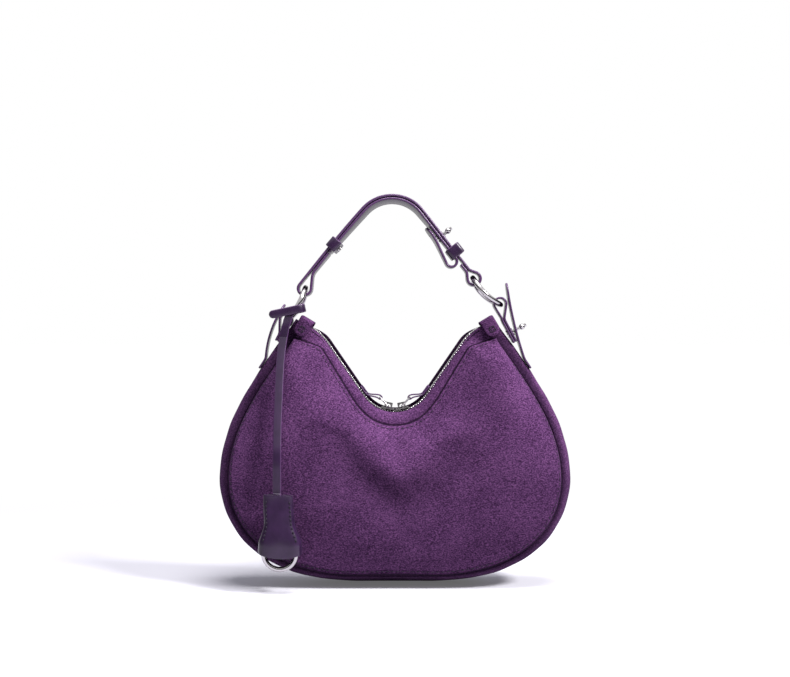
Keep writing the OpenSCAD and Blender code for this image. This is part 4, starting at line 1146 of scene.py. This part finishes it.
def limb_point(side, l, d=0.0):
    """The point l along a limb and d inside the outer strap's middle, and the slope there."""
    bent = min(l, LIMB[side])
    moves = [(math.radians(LEAN[side]) * ARCH_R, -side * LEAN[side])]
    if bent > 0:
        moves.append((bent, -side * DROOP[side] * bent / LIMB[side]))
    if l > bent:
        moves.append((l - bent, 0))
    slope = LEAN[side] + DROOP[side] * bent / LIMB[side]
    a = math.radians(slope)
    p = trail(HANDLE_TOP, 0 if side > 0 else 180, moves)[-1]
    return p - d * np.array([side * math.sin(a), math.cos(a)]), slope


def handle_twist(p):
    """Degrees by which the straps are turned so that their under side shows: most at the bend."""
    left = smooth((p[:, 0] - TWIST_FROM[0]) / TWIST_FROM[1])
    right = smooth((TWIST_TO[0] - p[:, 0]) / TWIST_TO[1])
    return HANDLE_TWIST * left * right


print("the left limb's middle lies at", limb_point(-1, LIMB[-1] / 2)[0].round(1))

# %% Handle straps
TURN_R = (STRAP_T + KEEPER_T + LAP_GAP) * 0.95  # of the fold that turns the inner strap back
LEFT_KEEPER_AT = 0.465 * LIMB[-1]  # just above the middle of the limb
RIGHT_KEEPER_AT = LIMB[1] - KEEPER_L / 2 - TURN_R - STRAP_T - RETURN_L / 4
left_fold, left_reach = fold_moves(STRAP_EYE, STRAP_LAP + LAP_GAP, 2 * STRAP_EYE, LOOP_VEER, -1)
neck = loop_reach(STRAP_EYE, STRAP_LAP) - loop_reach(STRAP_EYE, STRAP_LAP, LOOP_VEER)
left_back = LIMB[-1] - LEFT_KEEPER_AT - KEEPER_L / 2 - RETURN_L / 4 - RUN_GAP - left_reach


def half_strap(side, start, inner, moves):
    """One half of a strap from the top of the bend: the bend, the limb, then these moves."""
    arch = math.radians(LEAN[side]) * (ARCH_R - inner)
    return trail(start, 0 if side > 0 else 180, [(arch, -side * LEAN[side]), *moves])


left_end = (left_back, -DROOP[-1] * left_back / LIMB[-1])
outer_left = half_strap(-1, HANDLE_TOP, 0, [(LIMB[-1], DROOP[-1]), *left_fold, left_end])
right_loop = loop_moves(STRAP_EYE, STRAP_LAP, 1, LOOP_VEER)
right_moves = [(LIMB[1], -DROOP[1]), (neck, 0), *right_loop, (RETURN_L / 4 + neck, 0)]
outer_right = half_strap(1, HANDLE_TOP, 0, right_moves)
inner_top = HANDLE_TOP - (0, STRAP_LAP)
inner_left_l = LEFT_KEEPER_AT + KEEPER_L / 2 + RETURN_L / 4
inner_left_moves = [(inner_left_l, DROOP[-1] * inner_left_l / LIMB[-1])]
inner_left = half_strap(-1, inner_top, STRAP_LAP, inner_left_moves)
inner_right_l = RIGHT_KEEPER_AT + KEEPER_L / 2
tail_fold, _ = fold_moves(TURN_R, STRAP_LAP + STRAP_T / 2, 3 * STRAP_W, TAIL_VEER, 1)
down = (inner_right_l, -DROOP[1] * inner_right_l / LIMB[1])
inner_right = half_strap(1, inner_top, STRAP_LAP, [down, *tail_fold, (RETURN_L / 2, 0)])
for name, left, right in (("outer", outer_left, outer_right), ("inner", inner_left, inner_right)):
    strap_piece(
        "handle_" + name + "_strap_leather",
        np.concatenate([left[::-1], right[1:]]),
        STRAP_W,
        STRAP_T - STRAP_SHAVE,
        IN_FRONT_PLANE,
        (0, 1) if name == "inner" else (0, 0),
        body="handle",
        replaces=("handle_" + name + "_strap",),
        twist=handle_twist,
        **LEATHER,
    )
print("handle straps made, top at", round(float(outer_left[:, 1].max()) + STRAP_T / 2, 1), "mm")

# %% [markdown]
# ## Keepers
# A keeper is a short leather band round the straps. Its path is a rectangle with round
# corners in the strap's cross-section; the width of the band lies along the strap. The right
# one is loose, and a sliver of daylight shows between it and the strap.

# %% Keepers
KEEPER_CORNER = 1.7
JOIN_START, JOIN_END = 0.3, 0.25  # the band's two ends meet here, beside the middle of one side


def keeper(name, side, l, slack):
    """A closed band of leather round both straps at distance l along a limb."""
    p, slope = limb_point(side, l, STRAP_LAP / 2)
    e_along, _, e_out = tilted(-side * slope)
    half_y = STRAP_W / 2 + RUN_GAP + KEEPER_T / 2
    low = STRAP_LAP / 2 + STRAP_T / 2 + RUN_GAP + KEEPER_T / 2
    flat = half_y - KEEPER_CORNER
    corner = (KEEPER_CORNER * math.pi / 2, 90)
    upright = (2 * low + slack - 2 * KEEPER_CORNER, 0)
    over = [corner, upright, corner]
    moves = [(flat - JOIN_START, 0), *over, (2 * flat, 0), *over, (flat + JOIN_END, 0)]
    turn = math.radians(float(handle_twist(p[None, :])[0]))
    e_out = np.array(e_out)
    across = math.cos(turn) * np.array([0, 1, 0]) - math.sin(turn) * e_out
    e_out = math.sin(turn) * np.array([0, 1, 0]) + math.cos(turn) * e_out
    strap_piece(
        name + "_leather",
        trail((JOIN_START, -low), 0, moves),
        KEEPER_L,
        KEEPER_T - KEEPER_SHAVE,
        ((p[0], 0, p[1]), across, e_out, e_along),
        body=name,
        replaces=(name,),
        **LEATHER,
    )


keeper("left_keeper", -1, LEFT_KEEPER_AT, 0.0)
keeper("right_keeper", 1, RIGHT_KEEPER_AT, 1.5 * KEEPER_T)
print("keepers made")

# %% [markdown]
# ## Rings
# The rings are bent a little out of flat, so that they lie well in the strap's loops. A ring
# is a grid closed both ways: round the ring, and round the wire.

# %% Rings
def ring_piece(name, r, wire, bow, axes, **facts):
    """A wire of this thickness round a circle of radius r whose sides are lifted by bow."""
    a = np.linspace(0, 2 * math.pi, 144, endpoint=False)
    k = np.linspace(0, 2 * math.pi, 24, endpoint=False)[None, :, None]
    line = np.stack([r * np.cos(a), r * np.sin(a), bow * np.sin(a) ** 2], -1)
    ahead = np.roll(line, -1, 0) - np.roll(line, 1, 0)
    ahead /= np.linalg.norm(ahead, axis=1, keepdims=True)
    flat = np.stack([np.cos(a), np.sin(a), 0 * a], -1)
    up = np.cross(flat, ahead)
    up /= np.linalg.norm(up, axis=1, keepdims=True)
    out = np.cross(ahead, up)
    tube = line[:, None, :] + wire / 2 * (np.cos(k) * out[:, None, :] + np.sin(k) * up[:, None, :])
    verts = placed(tube, axes)
    rows, cols = verts.shape[:2]
    i, j = grid_of(np.arange(rows), np.arange(cols))
    i2, j2 = (i + 1) % rows, (j + 1) % cols
    faces = np.stack([i * cols + j, i2 * cols + j, i2 * cols + j2, i * cols + j2], -1)
    piece = new_piece(name, verts.reshape(-1, 3), faces.reshape(-1, 4).tolist(), **facts)
    print(name, "volume", round(volume_of(piece), 2), "cm3")


def eye_shift(w):
    """How far inside the ring's rim a strap of width w sits: half the height of the arc over it."""
    return (RING_D - math.sqrt(RING_D**2 - w * w)) / 4


TAB_W, TAB_T = 16.0, 1.8
LEFT_SLOPE, RIGHT_SLOPE = math.radians(59), math.radians(44)  # read off the photograph
EYE_REACH = RING_D - eye_shift(STRAP_W) - eye_shift(TAB_W)
STRAP_REACH = loop_reach(STRAP_EYE, STRAP_LAP)
left_eye, _ = limb_point(-1, LIMB[-1], STRAP_EYE)
right_eye, _ = limb_point(1, LIMB[1] + STRAP_REACH, STRAP_LAP / 2)
left_tab_eye = left_eye - EYE_REACH * np.array([math.cos(LEFT_SLOPE), math.sin(LEFT_SLOPE)])
right_tab_eye = right_eye + EYE_REACH * np.array([math.cos(RIGHT_SLOPE), -math.sin(RIGHT_SLOPE)])
ring_middles = {}
for name, side, upper, lower in (
    ("left", -1, left_eye, left_tab_eye),
    ("right", 1, right_eye, right_tab_eye),
):
    d = (lower - upper) / np.linalg.norm(lower - upper)
    middle = (upper + lower) / 2 + d * (eye_shift(TAB_W) - eye_shift(STRAP_W)) / 2
    slope = math.degrees(math.atan2(side * (upper[1] - lower[1]), side * (upper[0] - lower[0])))
    ring_middles[side] = middle
    ring_piece(
        name + "_ring_nickel",
        RING_D / 2,
        RING_WIRE,
        RING_BOW,
        ((middle[0], 0, middle[1]), *tilted(slope)),
        body="handle",
        replaces=(name + "_ring",),
        **NICKEL,
    )
print("eyes:", left_eye.round(1), right_eye.round(1), left_tab_eye.round(1), right_tab_eye.round(1))

# %% [markdown]
# ## Ring tabs and side straps
# A ring tab is a strap folded round the ring and sewn to the band. The side straps are sewn
# on by one end only and stand free beside the rings.

# %% Ring tabs
TAB_LAP = TAB_T + LAP_GAP
TAB_EYE = EYE_R + TAB_T / 2
TAB_LEG = 20.0
TAB_NECK = loop_reach(TAB_EYE, TAB_LAP)
FLANK_LEAN = math.degrees(
    math.atan2((HORN_LEAD[0] - HORN_TIP[0]) * HALF_W, (HORN_TIP[1] - HORN_LEAD[1]) * BODY_H)
)


def ring_tab(name, side, eye, lean, kink, leg):
    """Two layers from the eye down, bent by the kink below the neck, joined by the loop on top."""
    head = 270 + side * (lean - kink)
    a = math.radians(head)
    down, across = np.array([math.cos(a), math.sin(a)]), np.array([math.sin(a), -math.cos(a)])

    def layer(off):
        """One layer's middle line, this far to the side of the tab's own middle."""
        bend = (TAB_W / 2 + side * off) * math.radians(kink)
        start = eye + TAB_NECK * down + off * across
        return trail(start, head, [(bend, side * kink), (leg, 0)])

    near, far = layer(side * TAB_LAP / 2), layer(-side * TAB_LAP / 2)
    loop = trail(near[0], 90 + side * (lean - kink), loop_moves(TAB_EYE, TAB_LAP, side))
    piece = strap_piece(
        name + "_leather",
        np.concatenate([near[::-1], loop[1:], far[1:]]),
        TAB_W,
        TAB_T - SHAVE,
        IN_FRONT_PLANE,
        replaces=(name,),
        **LEATHER,
    )
    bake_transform(piece)


ring_tab("left_ring_tab", -1, left_tab_eye, FLANK_LEAN / 2 + 9, 6, 0.28 * TAB_LEG)
ring_tab("right_ring_tab", 1, right_tab_eye, FLANK_LEAN / 2 + 10, 16, TAB_LEG)
print("ring tabs made on flanks that lean", round(FLANK_LEAN, 1), "degrees")

# %% Side straps
TAIL_SHARE = 0.85  # the share of the half outline where the straps are sewn on
TAIL_SEWN, TAIL_BEND = 8, 4  # lengths of the sewn foot and of the bend after it
SIDE_STRAPS = {"left": (-1, 48, 5, -30), "right": (1, 65, 18.5, 11)}  # side, length, lean, curl
n = outward(band_line, np.array(TAIL_SHARE))
foot = along(band_line, np.array(TAIL_SHARE)) + n * (TAB_T / 2 + RUN_GAP)
up = math.degrees(math.atan2(n[0], -n[1]))
for name, (side, l, lean, curl) in SIDE_STRAPS.items():
    moves = [(TAIL_SEWN, 0), (TAIL_BEND, 90 + lean - up), (l, -curl)]
    line = trail(foot, up, moves) * (side, 1)
    strap_piece(
        name + "_side_strap_leather",
        line,
        TAB_W,
        TAB_T - SHAVE,
        IN_FRONT_PLANE,
        (0, 1),
        body="bag",
        replaces=(name + "_side_strap",),
        **LEATHER,
    )
print("side straps made, sewn on at", foot.round(1))

# %% [markdown]
# ## Zip pulls
# Each slider carries a small link, and round the link's far bar a leather tongue is folded.
# Its two layers are glued together behind the bar, so the fold looks like a drop from the
# side, and their weight makes the tongue droop until it rests along the zip.

# %% Pulls
PULL_L, PULL_WIRE, PULL_T = 34.0, 1.4, 1.3
LINK_L, PULL_W, PULL_TIP = 0.3 * PULL_L, 3.4, 29.0
PIVOT_X, PIVOT_Z = 5.76694, 153.039  # the hinge of the right pull in the frame
LINK_SLOPE = 54.9491  # the link's angle at rest in the frame, from square to the zip
PULL_RISE = 90 + math.degrees(math.atan2(PIVOT_X, MOUTH_TOP - PIVOT_Z)) - LINK_SLOPE
r = PULL_WIRE / 2 + RUN_GAP / 2 + PULL_T / 2
x = np.linspace(PULL_TIP, LINK_L, 60)
# The tongue falls by 5.9 mm soon after the link, and its tip curls up again by 0.9 mm
droop = -5.9 * smooth((x - LINK_L) / 10.5) + 0.9 * smooth((x - 20) / 9)
# Half the distance between the middles of its two layers, which close soon behind the bar
closing = mix(r, PULL_T / 2 + 0.05, smooth((x - LINK_L - 1.5) / 9))
turn = np.linspace(0, math.pi, 25)[1:-1]
line = np.concatenate(
    [
        np.stack([x, droop + closing], -1),
        np.stack([LINK_L - r * np.sin(turn), r * np.cos(turn)], -1),
        np.stack([x, droop - closing], -1)[::-1],
    ]
)
a = math.radians(PULL_RISE)
for name, side in (("left", -1), ("right", 1)):
    pivot = (side * PIVOT_X, 0, PIVOT_Z)
    strap_piece(
        name + "_pull_leather",
        line,
        PULL_W,
        PULL_T - SHAVE,
        (pivot, (side * math.cos(a), 0, math.sin(a)), (-side * math.sin(a), 0, math.cos(a)), (0, 1, 0)),
        (1, 1),
        body=name + "_pull",
        replaces=(name + "_pull",),
        **LEATHER,
    )
print("pulls rise at", round(PULL_RISE, 1), "degrees")

# %% [markdown]
# ## The key bell
# A bell hangs from the left ring. A strap end goes sideways round the ring and stands out as a
# tongue; below, the strap lies on the front panel and is folded round the key ring inside a
# bell of two leaves. The leaves are sewn together down both sides and flare at the mouth.

# %% Bell strap
BELL_STRAP_W, BELL_STRAP_T, BELL_LOOP_H = 7.0, 2.0, 24.2
BELL_W, BELL_H, BELL_D, BELL_T = 36.0, 56.0, 19.0, 1.8
KEY_RING_D, KEY_WIRE = 31.0, 4.4
BELL_START_D, BELL_OUT, BELL_HANG = 0.344 * BAND_W, 0.52 * BAND_W, 0.705 * BODY_H
bell_top = (-HORN[0] - 4, HORN[1] - 16)  # the hanging strap starts here, below its loop
e1, e2, e3 = (0, 1, 0), tilted(-2)[2], tilted(-2)[0]
HANGING = ((bell_top[0], -BELL_START_D, bell_top[1]), e1, e2, e3)

slope_l = 0.7 * BELL_HANG
slope = math.degrees(math.asin(BELL_OUT / slope_l))
bend_l = BELL_HANG / 8
bell_moves = [(slope_l - bend_l, 0), (bend_l, slope), (BELL_HANG - slope_l, 0)]
bell_line = trail((0, 0), 270 - slope, bell_moves)
bell_foot = bell_line[-1]


def bell_sway(p):
    """The strap hangs in a slight bow to the left: shifts read off the photograph at ten heights."""
    heights = [-190, -130, -75, -40, -22, -8, 0, 8, 16, 24]
    return np.interp(p[:, 1], heights, [-1.5, -4.2, -6.3, -6.9, -7.0, -6.3, -5.5, -4.2, -2.3, 0])


KEY_EYE = KEY_WIRE / 2 + 2 * RUN_GAP + BELL_STRAP_T / 2
BELL_LAP = BELL_STRAP_T + LAP_GAP
key_point = bell_foot + (-BELL_LAP / 2, -loop_reach(KEY_EYE, BELL_LAP))
folded = trail(bell_foot, 270, [*loop_moves(KEY_EYE, BELL_LAP, 1), (BELL_HANG / 5.8, 0)])
strap_piece(
    "bell_strap_leather",
    np.concatenate([bell_line, folded[1:]]),
    BELL_STRAP_W,
    BELL_STRAP_T - SHAVE,
    HANGING,
    (-1, 0),
    sway=bell_sway,
    body="bell_strap",
    replaces=("bell_strap",),
    **LEATHER,
)
print("bell strap ends at", key_point.round(1))

# %% Bell loop
wrap_z = bell_top[1] + BELL_LOOP_H
wrap_eye = EYE_R + BELL_STRAP_T / 2
tongue_l = 0.6 * BELL_W + BELL_STRAP_W / 2
turn_x = ring_middles[-1][0] + RING_BOW
e1, _, e3 = tilted(12)
tongue = trail((-tongue_l, -wrap_eye), 0, [(tongue_l, 0), (wrap_eye * math.pi, 180), (EYE_R, 0)])
wrap_place = ((turn_x, wrap_eye - BELL_START_D, wrap_z), e1, (0, 1, 0), e3)
rise = np.linspace(0, 1, 40)
# On its way up to the ring the strap goes back by 2.1 mm
upright = np.stack([2.1 * smooth((rise - 0.3) * 1.6), 0.1 + BELL_LOOP_H * rise], -1)
parts = (
    ("bell_tongue", tongue, wrap_place, (1, 0), None, ("bell_loop",)),
    ("bell_upright", upright, HANGING, (-1, 0), bell_sway, ()),
)
for name, line, place, tips, sway, nodes in parts:
    piece = strap_piece(
        name + "_leather",
        line,
        BELL_STRAP_W,
        BELL_STRAP_T - SHAVE,
        place,
        tips,
        sway=sway,
        replaces=nodes,
        **LEATHER,
    )
    x, y = bell_top[0] * MM, -BELL_START_D * MM
    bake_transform(piece)
print("bell loop made, it wraps the ring at height", round(float(wrap_z), 1), "mm")

# %% Bell leaves
BELL_LOW = key_point[1] - KEY_RING_D * 0.6
LEAF_HALF, LEAF_FLARE, FLARE_AT = 12.1, 4.9, 0.44  # half width, how much it flares, and from where
LEAF_SHIFT = (-3.0, 0.1)  # how far the leaves stand to the side at the neck and at the mouth
LEAF_LIFT, LEAF_SHARE = 2.2, 0.92  # they start higher than the solids and are a little shorter
BELL_PITCH, BELL_STITCH = 3.4, (2.3, 1.1, 1.5)
neck_d = (BELL_LAP + BELL_STRAP_T) / 2 + 1.4 * RUN_GAP + BELL_T


def leaf_point(u, v, hand):
    """u from -1 to 1 across, v from 0 at the neck to 1 at the mouth; hand 1 is the front leaf."""
    half = LEAF_HALF + 1.2 * v + LEAF_FLARE * smooth((v - FLARE_AT) / 0.4)
    shift = mix(*LEAF_SHIFT, smooth(v * 1.2))
    deep = mix(neck_d, BELL_D / 2 + 0.8, smooth(v * 1.2))
    crease = 0.35 * np.sin(5 * u + 3 * v) * np.sin(math.pi * np.clip(v, 0, 1)) * (1 - u * u)
    d = (deep - BELL_T) * np.sqrt(1 - u**6) + BELL_T * np.sqrt(1 - 0.4 * u * u) + SEAT_GAP / 2 + crease
    y = BELL_LOW + LEAF_LIFT + LEAF_SHARE * BELL_H * (1 - v) + v * v * BELL_W * 0.1 * u * u
    middle = bell_foot[0] - BELL_LAP / 2
    return placed(np.stack([middle - hand * d, y, u * half + shift], -1), HANGING)


u, v = grid_of(dense_at_ends(49), np.linspace(0, 1, 61))
for name, hand in (("bell_front", 1), ("bell_back", -1)):
    grid = looking(leaf_point(u, v, hand), 1, -hand)
    shell_piece(name + "_leather", grid, BELL_T, 0.5, body="bell", replaces=(name,), **LEATHER)
v = np.linspace(0.08, 0.76, 60)
for name, side in (("bell_stitches_left", -1), ("bell_stitches_right", 1)):
    path = leaf_point(np.full(60, 0.79 * side), v, 1)
    inner = leaf_point(np.full(60, 0.69 * side), v, 1)
    up = np.cross(np.gradient(path, axis=0), (inner - path) * side)
    up *= -np.sign(up[:, 1:2])
    up /= np.linalg.norm(up, axis=1, keepdims=True)
    stitches(name, path + 0.3 * up, up, BELL_PITCH, BELL_STITCH, body="bell")
print("bell made, mouth at", round(BELL_LOW, 1))

# %% [markdown]
# ## Metal parts
# Studs, screws, rivet, sliders, links, end stops and the key ring are turned, cast or bent
# metal, and their CAD shape is what they are. They keep it and get the nickel; the cast ones
# get a fine rounded edge.

# %% Metal finishes on CAD shapes
METAL = (
    "zip_end_stops left_slider right_slider left_pull_link right_pull_link key_ring "
    "side_strap_stud side_stud_screw handle_stud handle_stud_screw left_keeper_rivet"
).split()
for name in METAL:
    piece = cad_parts[name]
    piece.data.materials.clear()
    piece.data.materials.append(nickel)
    piece.data.polygons.foreach_set("use_smooth", [True] * len(piece.data.polygons))
    piece.data.set_sharp_from_angle(angle=math.radians(35))
for name in ("left_slider", "right_slider"):
    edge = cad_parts[name].modifiers.new("cast_edge", "BEVEL")
    edge.width, edge.segments, edge.limit_method = 0.25 * MM, 2, "ANGLE"
    edge.angle_limit = math.radians(35)
print("metal parts:", len(METAL))

# %% [markdown]
# ## The white room
# The bag stands on a white table in a white room. A ray from the camera, or one that has been
# mirrored by metal, sees the room at its full brightness; light that only bounces between dull
# surfaces gets about a fifth of it, so that shadows stay as deep as in the photograph.

# %% Room: what each ray sees
def seen_straight(tree):
    """1 for the rays that see the room itself: from the camera, off polished metal, through
    glass. The others only carry light between dull surfaces, and get 0."""
    rays = 0.0
    for kind in ("Is Camera Ray", "Is Glossy Ray", "Is Transmission Ray"):
        ray = add(tree, "ShaderNodeLightPath", kind)
        rays = add(tree, "ShaderNodeMath", "Value", {0: rays, 1: ray}, operation="ADD")
    return add(tree, "ShaderNodeMath", "Value", {0: rays, 1: 1.0}, operation="MINIMUM")


world = bpy.data.worlds.new("white_room")
bpy.context.scene.world = world
world.use_nodes = True
tree = world.node_tree
seen = seen_straight(tree)
dimmed = {"Value": seen, "To Min": 0.22, "To Max": 1.0}
strength = add(tree, "ShaderNodeMapRange", "Result", dimmed)
cooler = {"Factor": seen, "A": (0.8, 0.8, 1.0, 1), "B": (1, 1, 1, 1)}
tint = add(tree, "ShaderNodeMix", "Result", cooler, data_type="RGBA")
put(tree, tree.nodes["Background"], {"Color": tint, "Strength": strength})
print("room made, as bright as", dimmed["To Min"], "for light that bounces")

# %% [markdown]
# ## The white table
# Near the bag the table is lit by the lamps and keeps the bag's soft shadow; further off it
# glows like the room behind it, so no horizon shows. The light that bounces off it is dimmed,
# because in the photograph the bag's under side stays dark.

# %% White table
def room_piece(name, corners, faces, material):
    """A flat piece of the room, given in metres."""
    mesh = bpy.data.meshes.new(name)
    mesh.from_pydata(corners, [], faces)
    mesh.materials.append(material)
    made = bpy.data.objects.new(name, mesh)
    bpy.context.scene.collection.objects.link(made)
    return made


table, tree, shader = new_finish("white_table", {"Roughness": 1.0, "Specular IOR Level": 0.0})
place = add(tree, "ShaderNodeTexCoord", "Object")
far = add(tree, "ShaderNodeVectorMath", "Value", {0: place}, operation="LENGTH")
sweep = {"Value": far, "From Min": 0.38, "From Max": 0.85, "To Min": 1, "To Max": 0}
near = add(tree, "ShaderNodeMapRange", "Result", sweep)
bounce = add(tree, "ShaderNodeLightPath", "Is Diffuse Ray")
lost = add(tree, "ShaderNodeMath", "Value", {0: bounce, 1: 0.6}, operation="MULTIPLY")
left = add(tree, "ShaderNodeMath", "Value", {0: 0.86, 1: lost}, operation="SUBTRACT")
white = add(tree, "ShaderNodeMath", "Value", {0: near, 1: left}, operation="MULTIPLY")
channels = {
    channel: add(tree, "ShaderNodeMath", "Value", {0: white, 1: share}, operation="MULTIPLY")
    for channel, share in (("Red", 0.99), ("Green", 0.97), ("Blue", 1.05))
}
tint = add(tree, "ShaderNodeCombineColor", "Color", channels)
lit = add(tree, "ShaderNodeMath", "Value", {0: near, 1: 0.9}, operation="MULTIPLY")
unlit = add(tree, "ShaderNodeMath", "Value", {0: 1.02, 1: lit}, operation="SUBTRACT")
straight = seen_straight(tree)
glow = add(tree, "ShaderNodeMath", "Value", {0: straight, 1: unlit}, operation="MULTIPLY")
put(
    tree,
    shader,
    {"Base Color": tint, "Emission Color": (1, 1, 1, 1), "Emission Strength": glow},
)
corners = [(-40, -40, 0), (40, -40, 0), (40, 40, 0), (-40, 40, 0)]
floor = room_piece("floor", corners, [(0, 1, 2, 3)], table)
print("floor made:", [round(2 * c) for c in corners[2][:2]], "m")

# %% [markdown]
# ## Lamps and dark cards
# A round soft lamp high up, in front and to the right, throws the shadow to the left and
# behind, and a larger and weaker one overhead fills it. Dark cards in front and at both sides
# are seen by polished things only: a ring or a tooth looks like metal because it shows dark and
# light next to each other.

# %% Lamps and dark cards
def lamp_at(name, place, target, size, energy):
    """A round soft lamp at place that looks at target."""
    light = bpy.data.lights.new(name, "AREA")
    light.shape, light.size, light.energy = "DISK", size, energy
    lamp = bpy.data.objects.new(name, light)
    bpy.context.scene.collection.objects.link(lamp)
    way = np.array(target, float) - place
    lamp.location = place
    down = math.acos(-way[2] / np.linalg.norm(way))
    lamp.rotation_euler = (down, 0, math.atan2(way[1], way[0]) - math.pi / 2)
    return lamp


key_lamp = lamp_at("key_lamp", (1.2, -0.85, 1.45), (0, 0, 0.12), size=0.5, energy=42)
top_lamp = lamp_at("top_lamp", (0.1, -0.35, 1.7), (0, 0, 0.05), size=1.0, energy=24)

CARD_X, CARD_BACK, CARD_FRONT, CARD_LOW, CARD_HIGH = 1.7, 1.4, -2.2, -0.1, 1.0
card_plan = [(-CARD_X, CARD_BACK), (-CARD_X, CARD_FRONT), (CARD_X, CARD_FRONT), (CARD_X, CARD_BACK)]
corners = [(x, y, z) for z in (CARD_LOW, CARD_HIGH) for x, y in card_plan]
black, tree, shader = new_finish("dark_room", {"Roughness": 1.0, "Specular IOR Level": 0.0})
put(tree, shader, {"Base Color": (0.01, 0.01, 0.012, 1)})
card = room_piece("dark_card", corners, [(k, k + 1, k + 5, k + 4) for k in range(3)], black)
card.visible_camera = card.visible_diffuse = card.visible_shadow = card.visible_transmission = False

bpy.context.scene.view_settings.view_transform = "Standard"
print("stage ready")
